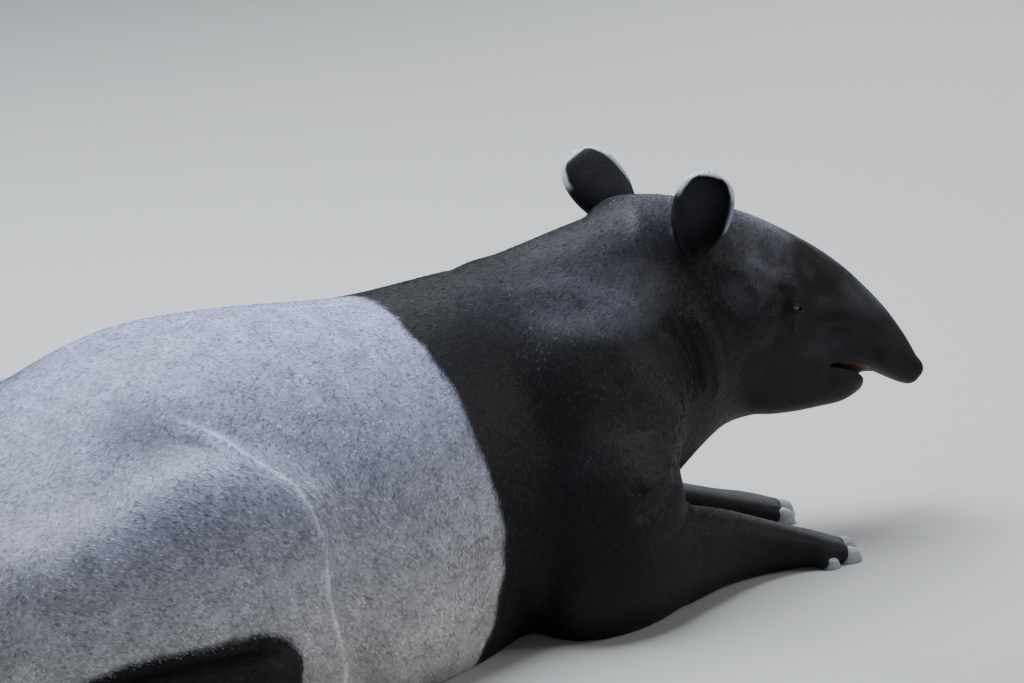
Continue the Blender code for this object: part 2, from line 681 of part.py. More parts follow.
def fore_leg_region(side, grow):
    inner = [(x, side * y) for x, y in FORE_LEG_INNER[side]]
    region = prism(inner, "Z", UNDERGROUND, ABOVE_LEGS, "region", grow)
    return boolean(region, prism(FORE_LEG_OUTLINE, "Y", -LEG_OUTER, LEG_OUTER, "outline", grow), "INTERSECT")


def fore_foot_region(side, grow):
    inner, outer = (side * y for y in FORE_FOOT_SIDES[side])
    outline = [(WRIST, inner), (FORE_FOOT_END, inner), (FORE_FOOT_END, outer), (WRIST, outer)]
    return prism(outline, "Z", UNDERGROUND, FORE_FOOT_TOP, "region", grow)


def part_flesh(body):
    for side in (RIGHT, LEFT):
        label = SIDE_NAMES[side]
        foot = part_off(body, f"forefoot_{label}", lambda grow: fore_foot_region(side, grow))
        shoe(foot, "forefoot", side, FORE_TOES)
        part_off(body, f"foreleg_{label}", lambda grow: fore_leg_region(side, grow))
        leg = part_off(body, f"hindleg_{label}", lambda grow: hind_leg_region(side, grow))
        foot = part_off(leg, f"hindfoot_{label}", lambda grow: hind_foot_region(side, grow))
        shoe(foot, "hindfoot", side, HIND_TOES)
    body.name = "torso"
    neck = part_off(body, "neck", lambda grow: half_space(*NECK_CUT, "region", -grow))
    boolean(neck, half_space(*HEAD_CUT, "region", -GAP), "DIFFERENCE")


# Materials


def colour_of(name):
    if name.startswith("hoof"):
        return HORN
    if name.startswith("eye"):
        return EYE_SURFACE
    return PALE_HIDE if name in PALE_NODES else BLACK_HIDE


def finish(obj):
    """Gives a node its own material and smooth shading."""
    colour, roughness = colour_of(obj.name)
    material = bpy.data.materials.new(obj.name)
    material.use_nodes = True
    shader = material.node_tree.nodes["Principled BSDF"]
    shader.inputs["Base Color"].default_value = (*colour, 1)
    shader.inputs["Roughness"].default_value = roughness
    shader.inputs["Metallic"].default_value = 0
    obj.data.materials.clear()
    obj.data.materials.append(material)
    obj.data.shade_smooth()
    obj.data.set_sharp_from_angle(angle=math.radians(50))


def main():
    clear_scene()
    body = body_form()
    boolean(body, half_space((0, 0, 0), (0, 0, -1), "ground"), "DIFFERENCE")
    part_flesh(body)

    head = head_form()
    cut_face(head)
    place(head, head_matrix())
    neck = bpy.data.objects["neck"]
    for side in (RIGHT, LEFT):
        cut_head(head, place(leaf(EAR_LEAF, "root", side, GAP), head_matrix()))
        boolean(neck, place(leaf(EAR_LEAF, "root", side, GAP), head_matrix()), "DIFFERENCE")
        place(ear(side), head_matrix())
        place(eyeball(f"eye_{SIDE_NAMES[side]}", side), head_matrix())
        cut_head(head, fore_leg_region(side, GAP))
    cut_head(head, half_space(*HEAD_CUT, "region"), "INTERSECT")

    boolean(bpy.data.objects["torso"], limb_loft(TAIL, "root", sides=12, per_span=2, grow=GAP), "DIFFERENCE")
    limb_loft(TAIL, "tail", sides=12, per_span=2)
    for obj in bpy.data.objects:
        finish(obj)


main()
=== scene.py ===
"""The looks of a life-size Malayan tapir that lies on its chest: one skin, a short coat, eyes and hooves.

Metres, +X towards the head, +Y to the animal's left, +Z up. The origin is on the ground under the flat of the
belly. The skin is lofted and fused from the same named sections as the solids, split finer towards the face,
and then given its folds, lids, lips and nostrils. Fine tufts lie on it along the body. Skin and tufts take
their markings, with the light and shade painted into them, from the same rules.
"""

import math
from functools import cache

import bmesh
import bpy
import numpy as np
from mathutils import Matrix, Vector
from mathutils.bvhtree import BVHTree

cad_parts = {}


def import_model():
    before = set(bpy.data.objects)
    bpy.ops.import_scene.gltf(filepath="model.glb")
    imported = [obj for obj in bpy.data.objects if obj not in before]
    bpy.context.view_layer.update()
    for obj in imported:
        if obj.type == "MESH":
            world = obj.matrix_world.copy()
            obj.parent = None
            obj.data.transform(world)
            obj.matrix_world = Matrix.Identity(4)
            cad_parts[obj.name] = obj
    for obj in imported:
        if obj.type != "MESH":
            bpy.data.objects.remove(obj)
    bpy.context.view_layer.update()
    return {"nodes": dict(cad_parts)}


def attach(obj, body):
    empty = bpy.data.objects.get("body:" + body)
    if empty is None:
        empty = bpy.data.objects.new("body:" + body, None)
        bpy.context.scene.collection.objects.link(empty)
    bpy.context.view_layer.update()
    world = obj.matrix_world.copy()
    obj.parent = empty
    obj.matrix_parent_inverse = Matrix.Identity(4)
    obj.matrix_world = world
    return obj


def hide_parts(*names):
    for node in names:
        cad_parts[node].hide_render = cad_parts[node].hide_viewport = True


RIGHT, LEFT = -1, 1
SIDE_NAMES = {RIGHT: "right", LEFT: "left"}

# The camera looks at AIM from AZIMUTH and ELEVATION
AZIMUTH, ELEVATION = math.radians(-38), math.radians(16)
CAMERA_DISTANCE = 8.0
CAMERA_LENS = 186.3  # mm on a sensor 36 mm wide
AIM = Vector((0.350, 0.0, 0.380))

# Trunk, neck and throat:
# x, top, widest level, half width, underside, fullness above and below
TRUNK = (
    (-0.950, 0.198, 0.160, 0.040, 0.100, 2.0, 2.0),
    (-0.925, 0.222, 0.140, 0.110, 0.040, 2.1, 2.0),
    (-0.870, 0.258, 0.130, 0.180, -0.030, 2.2, 2.6),
    (-0.750, 0.312, 0.130, 0.243, -0.060, 2.4, 3.2),
    (-0.600, 0.383, 0.125, 0.278, -0.060, 2.6, 4.0),
    (-0.460, 0.457, 0.125, 0.300, -0.060, 2.5, 4.0),
    (-0.320, 0.512, 0.120, 0.315, -0.060, 2.2, 4.0),
    (-0.180, 0.517, 0.115, 0.328, -0.060, 2.0, 4.0),
    (-0.050, 0.505, 0.115, 0.334, -0.060, 2.0, 4.0),
    (0.080, 0.494, 0.120, 0.300, -0.060, 2.0, 3.6),
    (0.200, 0.504, 0.140, 0.260, -0.050, 1.9, 3.0),
    (0.320, 0.512, 0.180, 0.228, -0.035, 1.9, 2.6),
    (0.430, 0.534, 0.230, 0.196, 0.000, 1.9, 2.3),
    (0.520, 0.552, 0.270, 0.166, 0.050, 1.9, 2.2),
    (0.610, 0.562, 0.310, 0.142, 0.108, 1.9, 2.2),
    (0.680, 0.550, 0.315, 0.118, 0.152, 1.9, 2.3),
    (0.745, 0.500, 0.300, 0.088, 0.174, 1.9, 2.2),
    (0.810, 0.400, 0.290, 0.060, 0.176, 1.9, 2.0),
    (0.860, 0.330, 0.270, 0.030, 0.196, 2.0, 2.0),
)
# Muscle masses on both sides: centre, half sizes, and the lean of the top towards the head in degrees
MASSES = (
    ((0.330, 0.110, 0.265), (0.200, 0.128, 0.190), -15),  # shoulder blade
    ((0.410, 0.130, 0.265), (0.152, 0.112, 0.185), 0),  # shoulder point
    ((0.345, 0.192, 0.145), (0.170, 0.122, 0.165), 10),  # upper arm
    ((-0.285, 0.268, 0.105), (0.082, 0.080, 0.135), 0),  # knee
    ((-0.690, 0.140, 0.155), (0.190, 0.150, 0.175), 0),  # buttock
)
# Limbs: centre x, y out from the middle, z, half width, half depth above, half depth below
THIGH = (
    (-0.780, 0.100, 0.165, 0.090, 0.105, 0.140),
    (-0.680, 0.150, 0.190, 0.125, 0.130, 0.180),
    (-0.540, 0.190, 0.203, 0.134, 0.152, 0.200),
    (-0.420, 0.217, 0.206, 0.124, 0.200, 0.180),
    (-0.325, 0.242, 0.190, 0.102, 0.192, 0.130),
    (-0.265, 0.264, 0.160, 0.080, 0.165, 0.100),
    (-0.232, 0.280, 0.145, 0.045, 0.105, 0.070),
)
# The edge of the thigh, from below the hip over the knee to the ground: centre of the fold and its radius
THIGH_EDGE = (
    (-0.424, 0.166, 0.418, 0.013),
    (-0.379, 0.199, 0.406, 0.022),
    (-0.330, 0.237, 0.376, 0.029),
    (-0.283, 0.261, 0.337, 0.031),
    (-0.263, 0.278, 0.305, 0.031),
    (-0.255, 0.293, 0.270, 0.031),
    (-0.250, 0.303, 0.217, 0.031),
    (-0.243, 0.304, 0.162, 0.031),
    (-0.226, 0.303, 0.085, 0.031),
    (-0.218, 0.300, 0.020, 0.030),
)
SHANK = (
    (-0.310, 0.295, 0.080, 0.062, 0.060, 0.070),
    (-0.380, 0.308, 0.080, 0.066, 0.062, 0.070),
    (-0.500, 0.316, 0.076, 0.059, 0.060, 0.060),
    (-0.600, 0.320, 0.068, 0.046, 0.050, 0.055),
    (-0.665, 0.320, 0.056, 0.040, 0.042, 0.055),
    (-0.700, 0.320, 0.048, 0.026, 0.030, 0.045),
)
HIND_FOOT = (
    (-0.690, 0.330, 0.042, 0.034, 0.038, 0.045),
    (-0.620, 0.340, 0.034, 0.038, 0.034, 0.040),
    (-0.500, 0.350, 0.030, 0.039, 0.030, 0.036),
    (-0.420, 0.354, 0.027, 0.046, 0.027, 0.034),
    (-0.370, 0.356, 0.023, 0.050, 0.022, 0.030),
    (-0.340, 0.357, 0.018, 0.036, 0.014, 0.022),
)
FORE_LEG = {
    RIGHT: (
        (0.230, 0.220, 0.070, 0.070, 0.085, 0.090),
        (0.290, 0.238, 0.075, 0.090, 0.105, 0.105),
        (0.380, 0.236, 0.075, 0.088, 0.100, 0.100),
        (0.490, 0.214, 0.070, 0.069, 0.078, 0.084),
        (0.590, 0.196, 0.056, 0.054, 0.062, 0.064),
        (0.670, 0.192, 0.042, 0.046, 0.046, 0.050),
        (0.735, 0.200, 0.031, 0.046, 0.032, 0.038),
        (0.785, 0.208, 0.023, 0.053, 0.022, 0.030),
        (0.822, 0.212, 0.017, 0.044, 0.014, 0.022),
    ),
    LEFT: (
        (0.230, 0.210, 0.070, 0.070, 0.085, 0.090),
        (0.290, 0.222, 0.075, 0.090, 0.105, 0.105),
        (0.390, 0.200, 0.075, 0.082, 0.095, 0.100),
        (0.490, 0.155, 0.070, 0.066, 0.072, 0.080),
        (0.590, 0.106, 0.056, 0.055, 0.056, 0.064),
        (0.690, 0.060, 0.042, 0.047, 0.040, 0.050),
        (0.770, 0.026, 0.031, 0.046, 0.028, 0.038),
        (0.830, 0.008, 0.023, 0.052, 0.021, 0.030),
        (0.875, 0.000, 0.017, 0.043, 0.014, 0.022),
    ),
}
FOREARM_START = 3  # the section from which a foreleg is slim
TAIL = (
    (-0.895, 0.000, 0.204, 0.040, 0.030, 0.030),
    (-0.943, 0.000, 0.196, 0.030, 0.024, 0.024),
    (-0.970, 0.000, 0.165, 0.023, 0.018, 0.018),
    (-0.980, 0.000, 0.127, 0.017, 0.013, 0.013),
    (-0.979, 0.000, 0.106, 0.008, 0.006, 0.006),
)

# The head's own frame: X along the skull to the snout, Z to the crest, origin midway between the ear roots
HEAD_ORIGIN = Vector((0.652, -0.006, 0.487))
HEAD_YAW = math.radians(-9.9)
HEAD_PITCH = math.radians(28.2)
# The same columns as the trunk's, in the head's frame
SKULL = (
    (-0.110, 0.036, -0.050, 0.095, -0.150, 1.9, 2.2),
    (-0.050, 0.062, -0.055, 0.114, -0.185, 1.8, 2.2),
    (0.020, 0.080, -0.060, 0.119, -0.195, 1.7, 2.2),
    (0.085, 0.091, -0.060, 0.114, -0.190, 1.6, 2.2),
    (0.145, 0.095, -0.055, 0.102, -0.175, 1.6, 2.1),
    (0.200, 0.094, -0.045, 0.087, -0.158, 1.7, 2.2),
    (0.250, 0.091, -0.035, 0.074, -0.135, 1.8, 2.3),
    (0.300, 0.084, -0.025, 0.064, -0.100, 1.9, 2.4),
    (0.335, 0.076, -0.016, 0.058, -0.066, 2.0, 2.5),
    (0.390, 0.060, -0.010, 0.051, -0.055, 2.0, 2.5),
    (0.430, 0.045, -0.012, 0.045, -0.053, 2.0, 2.4),
    (0.470, 0.026, -0.016, 0.039, -0.053, 2.0, 2.3),
    (0.498, 0.009, -0.020, 0.036, -0.052, 2.0, 2.2),
    (0.517, -0.006, -0.024, 0.031, -0.049, 2.2, 2.2),
    (0.527, -0.018, -0.028, 0.017, -0.040, 2.0, 2.0),
)
JAW = (
    (-0.040, -0.070, -0.120, 0.085, -0.180, 2.0, 2.2),
    (0.030, -0.050, -0.130, 0.104, -0.205, 2.4, 2.4),
    (0.100, -0.040, -0.130, 0.103, -0.208, 2.8, 2.5),
    (0.160, -0.040, -0.120, 0.093, -0.213, 3.0, 2.5),
    (0.220, -0.040, -0.110, 0.079, -0.204, 3.0, 2.4),
    (0.280, -0.044, -0.102, 0.066, -0.188, 3.0, 2.3),
    (0.325, -0.052, -0.098, 0.057, -0.168, 2.8, 2.3),
    (0.370, -0.055, -0.090, 0.049, -0.142, 2.5, 2.3),
    (0.405, -0.056, -0.083, 0.040, -0.121, 2.3, 2.2),
    (0.428, -0.060, -0.077, 0.025, -0.099, 2.0, 2.0),
    (0.436, -0.066, -0.078, 0.012, -0.089, 2.0, 2.0),
)
# Bulges and hollows on each side of the face: centre in the head's frame, reach, how far the skin moves out
FACE_RELIEF = (
    ((0.090, 0.112, -0.115), (0.130, 0.090, 0.095), 0.006),  # cheek muscle
    ((0.075, 0.112, 0.006), (0.080, 0.060, 0.030), 0.006),  # cheekbone behind
    ((0.145, 0.098, -0.018), (0.065, 0.060, 0.028), 0.006),  # cheekbone ahead
    ((0.115, 0.075, 0.045), (0.100, 0.070, 0.045), -0.011),  # temple
    ((0.196, 0.082, 0.018), (0.042, 0.050, 0.024), 0.006),  # brow
    ((0.262, 0.060, 0.030), (0.060, 0.060, 0.050), -0.009),  # hollow ahead of the eye
    ((0.360, 0.045, 0.015), (0.110, 0.060, 0.055), 0.007),  # snout muscle
    ((0.350, 0.055, -0.026), (0.090, 0.050, 0.018), -0.005),  # groove above the lip
    ((0.385, 0.050, -0.048), (0.060, 0.040, 0.018), 0.003),  # upper lip
    ((0.514, 0.026, -0.012), (0.026, 0.025, 0.020), 0.004),  # rim of the nostril
)

# What the skin has beyond the solids: the same columns, for smaller hollows and bulges
FACE_DETAIL = (
    ((0.152, 0.043, 0.066), (0.045, 0.040, 0.045), 0.0055),  # forehead
    ((0.214, 0.043, 0.060), (0.040, 0.040, 0.038), -0.0090),  # hollow ahead of the forehead
    ((0.110, 0.085, 0.032), (0.060, 0.045, 0.026), -0.0060),  # temple
    ((0.190, 0.083, 0.014), (0.042, 0.045, 0.024), 0.0035),  # brow
    ((0.184, 0.088, -0.026), (0.026, 0.035, 0.026), -0.0060),  # pocket behind the eye
    ((0.250, 0.072, -0.058), (0.065, 0.045, 0.034), 0.0045),  # front of the cheek
    ((0.300, 0.060, 0.006), (0.060, 0.045, 0.030), 0.0035),  # side of the snout
    ((0.150, 0.100, -0.070), (0.060, 0.050, 0.050), 0.0030),  # middle of the cheek
    ((0.345, 0.048, -0.086), (0.026, 0.035, 0.018), -0.0030),  # below the corner of the mouth
)
# Lines of the face in the head's frame: points, half width, height
FACE_FOLDS = (
    (
        ((0.052, 0.102, 0.009), (0.088, 0.102, -0.001), (0.110, 0.102, -0.011), (0.140, 0.100, -0.034)),
        0.009, 0.0060,  # ridge over the cheekbone
    ),
    (
        ((0.270, 0.068, -0.036), (0.320, 0.060, -0.022), (0.380, 0.055, -0.015), (0.440, 0.042, -0.028)),
        0.014, -0.0065,  # groove above the upper lip
    ),
    (
        ((0.318, 0.060, -0.056), (0.350, 0.055, -0.045), (0.395, 0.050, -0.038), (0.435, 0.042, -0.042)),
        0.009, 0.0035,  # edge of the upper lip
    ),
    # below the eye, and along the jaw
    (((0.216, 0.082, -0.020), (0.221, 0.080, -0.034), (0.224, 0.078, -0.050)), 0.005, 0.0016),
    (((0.140, 0.102, -0.130), (0.185, 0.092, -0.090), (0.205, 0.086, -0.055)), 0.012, -0.0025),
)

EYE = Vector((0.206, 0.0690, -0.010))  # centre of the eyeball, in the head's frame
EYE_RADIUS = 0.0165
EYE_TURN = math.radians(-8)  # how far the left eye looks ahead of straight out
LIDS = (0.0240, 0.0192, 0.0168)  # half sizes of the closed lids: along the slit, outward, upward
SLIT = (0.0100, 0.0034)  # half length and half height of the opening between the lids
SLIT_TURN = math.radians(-8)
SLIT_BOW = (0.75, 1.15)  # how far its upper and lower edge bow out, against the half height
SLIT_STEP = 0.0006  # width of the step from the lids down to the eyeball
LID_BOX = (0.034, 0.030, -0.012)  # half length, half height and least depth of the skin that the lids shape
LID_BLEND = 0.0030  # how softly the lids run out into the face
LID_RIM = (0.0012, 0.0016)  # height and width of the thick rim round the slit
# Creases of the lids: offset from the slit's edge, depth and width
LID_CREASES = ((0.0055, 0.0013, 0.0013), (0.0100, 0.0010, 0.0022), (-0.0080, 0.0010, 0.0020))
LID_CREASE_BEND = 0.25  # how much more the creases bend than the slit's edges
LID_CREASE_REACH = 0.95  # their half length, against the lids'
EYE_SET = 0.0028  # how far the skin in the slit lies behind the eyeball's face
NOSTRIL = ((0.520, 0.0150, -0.024), (0.016, 0.0050, 0.0085))  # centre and half sizes
NOSTRIL_SLANT, NOSTRIL_DEPTH = 0.5, 0.014
NOSTRIL_EDGE = 0.35  # where it is deepest, in the squared distance that is 1 at its edge
NOSTRIL_BEHIND = -0.03  # the skin further behind its centre is left alone
# Edges of the lips, from the corner of the mouth to the front, in the head's X and Z
UPPER_LIP = (
    (0.334, -0.0740),
    (0.341, -0.0650),
    (0.356, -0.0565),
    (0.386, -0.0490),
    (0.418, -0.0460),
    (0.460, -0.0480),
)
LOWER_LIP = (
    (0.334, -0.0740),
    (0.345, -0.0715),
    (0.365, -0.0675),
    (0.390, -0.0638),
    (0.412, -0.0640),
    (0.428, -0.0690),
    (0.460, -0.0850),
)
UPPER_LIP_ROLL, LOWER_LIP_ROLL = 0.0060, 0.0030  # how far into the mouth the lips' edges are rounded
MOUTH_CORNER = 0.004  # length over which the mouth opens from its corner
MOUTH_FADE = (-0.442, -0.415)  # X, turned round, over which the mouth's opening ends under the snout
THROAT_POINT = 0.355  # X in the head's frame towards which the mouth's inside draws back
MOUTH_DEPTH = 0.42  # how far it draws back, as a part of the way

# Ears: root, tip and the way the cup faces, all in the head's frame
EARS = {
    RIGHT: ((-0.012, -0.094, -0.010), (-0.058, -0.112, 0.126), (-0.42, -1.00, 0.05)),
    LEFT: ((-0.022, 0.089, 0.002), (-0.148, 0.172, 0.074), (0.30, 0.88, -0.20)),
}
# Along the ear, half width, half depth, shift towards the opening
EAR_LEAF = (
    (-0.026, 0.020, 0.018, 0.000),
    (0.000, 0.026, 0.022, 0.000),
    (0.030, 0.035, 0.024, 0.000),
    (0.058, 0.045, 0.023, 0.000),
    (0.086, 0.0475, 0.019, 0.000),
    (0.110, 0.0440, 0.014, 0.000),
    (0.128, 0.033, 0.010, 0.000),
    (0.138, 0.017, 0.006, 0.000),
    (0.141, 0.005, 0.003, 0.000),
)
EAR_CUP = (
    (0.010, 0.006, 0.006, 0.020),
    (0.022, 0.020, 0.016, 0.019),
    (0.045, 0.032, 0.024, 0.018),
    (0.073, 0.0405, 0.025, 0.016),
    (0.096, 0.0405, 0.020, 0.013),
    (0.117, 0.033, 0.014, 0.010),
    (0.130, 0.019, 0.009, 0.008),
    (0.135, 0.006, 0.004, 0.007),
)

EAR_THINNEST = 0.002  # the least half width and half depth
# Where and how the ears are rounded into the skin
EAR_ROOT_REACH, EAR_ROOT_BLEND, EAR_ROOT_ROUNDS = 0.07, 0.006, 12
EAR_FREE = (0.016, 0.034)  # along the ear, where its free part starts
EAR_MARGIN = (0.004, 0.003, 0.16)  # room beside, before and behind, and along the ear that still counts as it
# The ear's white edge: along the ear, where it starts at the tip and at the rear, and where all is white
EAR_TIP_START, EAR_REAR_START, EAR_TIP_END = (0.092, 0.112), (0.045, 0.060), (0.1325, 0.1375)
EAR_RIM_START = (0.78, 0.90)  # across the ear, against its half width
EAR_RIM_BACK = -0.012  # how far round to the ear's back it reaches
EAR_REAR_WHITE = 0.45  # how white the rear edge is against the tip

# Hooves: toe's place ahead of and outward from the foot's centre, and size against the middle hoof
FORE_TOES = ((0.048, 0.002, 1.00), (0.030, -0.036, 0.88), (0.030, 0.038, 0.88), (-0.015, 0.046, 0.66))
HIND_TOES = ((0.040, 0.000, 1.00), (0.022, -0.037, 0.85), (0.022, 0.037, 0.85))
FOOT_CENTRES = {
    ("forefoot", RIGHT): (0.790, 0.209, 0),
    ("forefoot", LEFT): (0.842, 0.004, -10),
    ("hindfoot", RIGHT): (-0.372, 0.356, 3),
    ("hindfoot", LEFT): (-0.372, 0.356, 3),
}
HOOF_SIZE = Vector((0.046, 0.036, 0.027))  # length, width, height
KNUCKLE = ((-0.018, 0, 0.014), (0.028, 0.018, 0.019))  # the flesh behind the hoof: centre and half sizes

# The sharp line on the thigh's edge
THIGH_CREST = (
    (-0.403, 0.164, 0.443),
    (-0.365, 0.204, 0.427),
    (-0.323, 0.261, 0.393),
    (-0.280, 0.298, 0.356),
    (-0.264, 0.322, 0.322),
    (-0.253, 0.336, 0.281),
    (-0.237, 0.330, 0.215),
    (-0.230, 0.331, 0.161),
    (-0.209, 0.329, 0.082),
    (-0.200, 0.327, 0.020),
)
THIGH_SIDE = (-0.014, 0.004, -0.012)  # from the line to the full thigh beside it
FLANK_SIDE = (0.016, -0.004, 0.010)  # from the line to the hollow in the flank
# Folds and creases of the body, given for one side: points along the line, its half width, and its height,
# which is below 0 for a crease. Those in BOTH_SIDES lie alike on the other side.
BOTH_SIDES = (
    (
        ((0.232, 0.004, 0.506), (0.254, 0.033, 0.504), (0.282, 0.056, 0.500), (0.296, 0.076, 0.492)),
        0.010, -0.0030,  # beside the withers
    ),
    (
        ((0.283, 0.066, 0.496), (0.382, 0.112, 0.473), (0.440, 0.140, 0.448), (0.500, 0.152, 0.412)),
        0.030, 0.0060,  # top of the shoulder blade
    ),
    (
        ((0.500, 0.152, 0.412), (0.554, 0.149, 0.372), (0.573, 0.150, 0.330), (0.573, 0.158, 0.270)),
        0.018, 0.0070,  # its front edge
    ),
    (
        ((0.520, 0.150, 0.425), (0.568, 0.146, 0.380), (0.590, 0.146, 0.335), (0.592, 0.150, 0.270)),
        0.010, -0.0150,  # between shoulder and neck
    ),
    (((0.360, 0.130, 0.455), (0.392, 0.142, 0.446)), 0.014, -0.0020),  # dimple behind the shoulder blade
    (
        ((0.474, 0.255, 0.190), (0.430, 0.285, 0.196), (0.380, 0.300, 0.190), (0.331, 0.307, 0.176)),
        0.013, -0.0080,  # over the elbow
    ),
    (((0.450, 0.258, 0.222), (0.400, 0.285, 0.222), (0.355, 0.300, 0.214)), 0.016, 0.0050),  # above the elbow
    (
        ((0.435, 0.245, 0.271), (0.467, 0.238, 0.248), (0.490, 0.226, 0.222), (0.483, 0.241, 0.203)),
        0.012, -0.0028,  # in front of the arm
    ),
    (((0.470, 0.225, 0.330), (0.500, 0.213, 0.300), (0.520, 0.202, 0.262)), 0.011, -0.0026),  # upper arm
    (((0.338, 0.251, 0.287), (0.399, 0.246, 0.287), (0.450, 0.236, 0.284)), 0.006, -0.0016),
    (((0.301, 0.273, 0.254), (0.361, 0.269, 0.264), (0.420, 0.255, 0.261)), 0.006, -0.0016),
    (THIGH_CREST[:7], 0.0065, 0.0035),  # the line itself
    (THIGH_CREST[4:], 0.0065, 0.0045),
    (np.array(THIGH_CREST[:8]) + THIGH_SIDE, 0.012, 0.0045),  # the full thigh beside it
    (np.array(THIGH_CREST[1:9]) + FLANK_SIDE, 0.012, -0.0050),  # the hollow of the flank
)
# Folds where the head turns towards its right
NECK_FOLDS = (
    (
        ((0.560, -0.130, 0.425), (0.580, -0.140, 0.385), (0.599, -0.142, 0.336), (0.613, -0.138, 0.272)),
        0.009, -0.0060,  # crease nearest to the shoulder
    ),
    (
        ((0.593, -0.127, 0.424), (0.617, -0.137, 0.374), (0.642, -0.135, 0.314), (0.655, -0.122, 0.255)),
        0.010, 0.0050,  # fold ahead of it
    ),
    (((0.620, -0.120, 0.420), (0.650, -0.130, 0.365), (0.672, -0.124, 0.305)), 0.008, -0.0025),
)

# Markings
# Height against x of the line where the black of the forequarters meets the pale saddle
SADDLE_LINE = (
    (0.000, 0.055),
    (0.060, 0.085),
    (0.140, 0.110),
    (0.190, 0.115),
    (0.240, 0.112),
    (0.300, 0.100),
    (0.350, 0.090),
    (0.400, 0.090),
    (0.440, 0.078),
    (0.470, 0.073),
    (0.484, 0.078),
    (0.510, 0.100),
)
# x against height of the line above the black of the hind leg
STOCKING_LINE = (
    (-0.800, 0.060),
    (-0.700, 0.115),
    (-0.619, 0.136),
    (-0.567, 0.154),
    (-0.387, 0.158),
    (-0.346, 0.155),
    (-0.310, 0.138),
    (-0.290, 0.112),
    (-0.282, 0.000),
)
STOCKING_INNER = (0.170, 0.190)  # distance from the middle over which the stocking begins
BORDER_WAVES = ((0.010, 0.035, 1), (0.006, 0.009, 2))  # height, length and seed of the waves in the borders
BORDER_WIDTH = 0.007  # half width over which one colour runs into the other

# Resolution of the skin
TORSO_VOXEL, TORSO_ROUNDING = 0.010, 60
SKIN_VOXEL, SKIN_ROUNDING = 0.006, 11
HEAD_VOXEL, HEAD_ROUNDING = 0.003, 13
EAR_VOXEL, EAR_ROUNDING = 0.0018, 4
LIMB_FULLNESS = 2.4  # 2 would make the limbs' sections plain ellipses
STEEP_LIMB = 0.3  # a limb's path is steep where less than this part of it runs along X
HEAD_FIT_REACH = 0.012  # the furthest that the head's skin moves onto its finer form
SKIN_DEPTH = 0.0018  # how far the skin lies inside the solids, under the coat
GROUND_GAP = 0.0004  # the least height of skin and hair over the ground
FACE_SMOOTHING = (-0.05, 0.02, 0.5, 3)  # X in the head's frame where it starts and is full, weight and rounds
HEAD_FIT_START = (-0.05, 0.03)  # X in the head's frame over which the finer form takes over
# Where the mesh is finer: ranges of X and Z, in the head's frame but for the shoulder's
FINE_HEAD = ((0.00, math.inf), (-0.22, 0.12))
FINE_SHOULDER = ((0.40, 0.63), (0.17, 0.45))
FINE_SHOULDER_OUT = 0.10  # least distance from the middle
FINE_LIPS = ((0.325, 0.450), (-0.082, -0.040))
FINE_TIP = ((0.500, math.inf), (-0.05, math.inf))
FINE_STEPS = ((0.050, 0.012), (0.030, 0.002))  # reach round the eyes, and margin round lips and tip

# Linear colours
PALE_PAINTED_LIT_LEVELS = (0.10, 0.32, 0.47)  # heights at which the saddle has these colours; the change from bright low down to darker and bluish higher up is painted light
PALE_PAINTED_LIT = ((0.70, 0.69, 0.69), (0.40, 0.41, 0.53), (0.46, 0.48, 0.71))
BLACK = np.array((0.0085, 0.0088, 0.0112))
EAR_WHITE = np.array((0.85, 0.85, 0.86))
CREST_PAINTED_HIGHLIGHT = ((0.85, 0.0042), (0.12, 0.022))  # painted highlight on the thigh's crest: how much paler it is, within which distance
CREST_MARGIN = 0.05  # beyond the crest's own box, where its painted highlight is no longer reckoned
HIP_HAIR_AND_PAINTED_SHADE = ((-0.446, -0.190, 0.440), (0.110, 0.110, 0.060))  # centre and reach of a darker spot in the hollow before the hip: partly darker hair, partly painted shade
HIP_HAIR_AND_SHADE_DEPTH = 0.55
FLANK_DARK = (0.25, 0.05, (-0.30, -0.05))  # depth and size of the low flank's spots, and heights turned round
SPOTS = (0.8, 0.4, 0.02)  # the least shade of the hide's spots, what is added to it, and their size
SKIN_SHADE = 0.8  # the hide under the hair, against the hair
MOUTH_PINK = (0.26, 0.10, 0.075)
# painted shade in the recess of the mouth, below the pink under the upper lip
MOUTH_PAINTED_SHADE = (0.03, 0.010, 0.009)
PALATE = (0.3, 0.8)  # how near the upper lip the mouth's inside turns from painted shade to pink
HORN_PALE, HORN_DARK = (0.44, 0.46, 0.52), (0.20, 0.20, 0.22)
# Colours of the eye, by the angle from its axis as a part of 90 degrees
EYE_RINGS = (
    (0.00, (0.002, 0.002, 0.003)),
    (0.10, (0.002, 0.002, 0.003)),
    (0.13, (0.022, 0.012, 0.007)),
    (0.27, (0.014, 0.008, 0.005)),
    (0.45, (0.010, 0.006, 0.005)),
)
FLOOR_COLOUR = (0.47, 0.47, 0.46, 1)
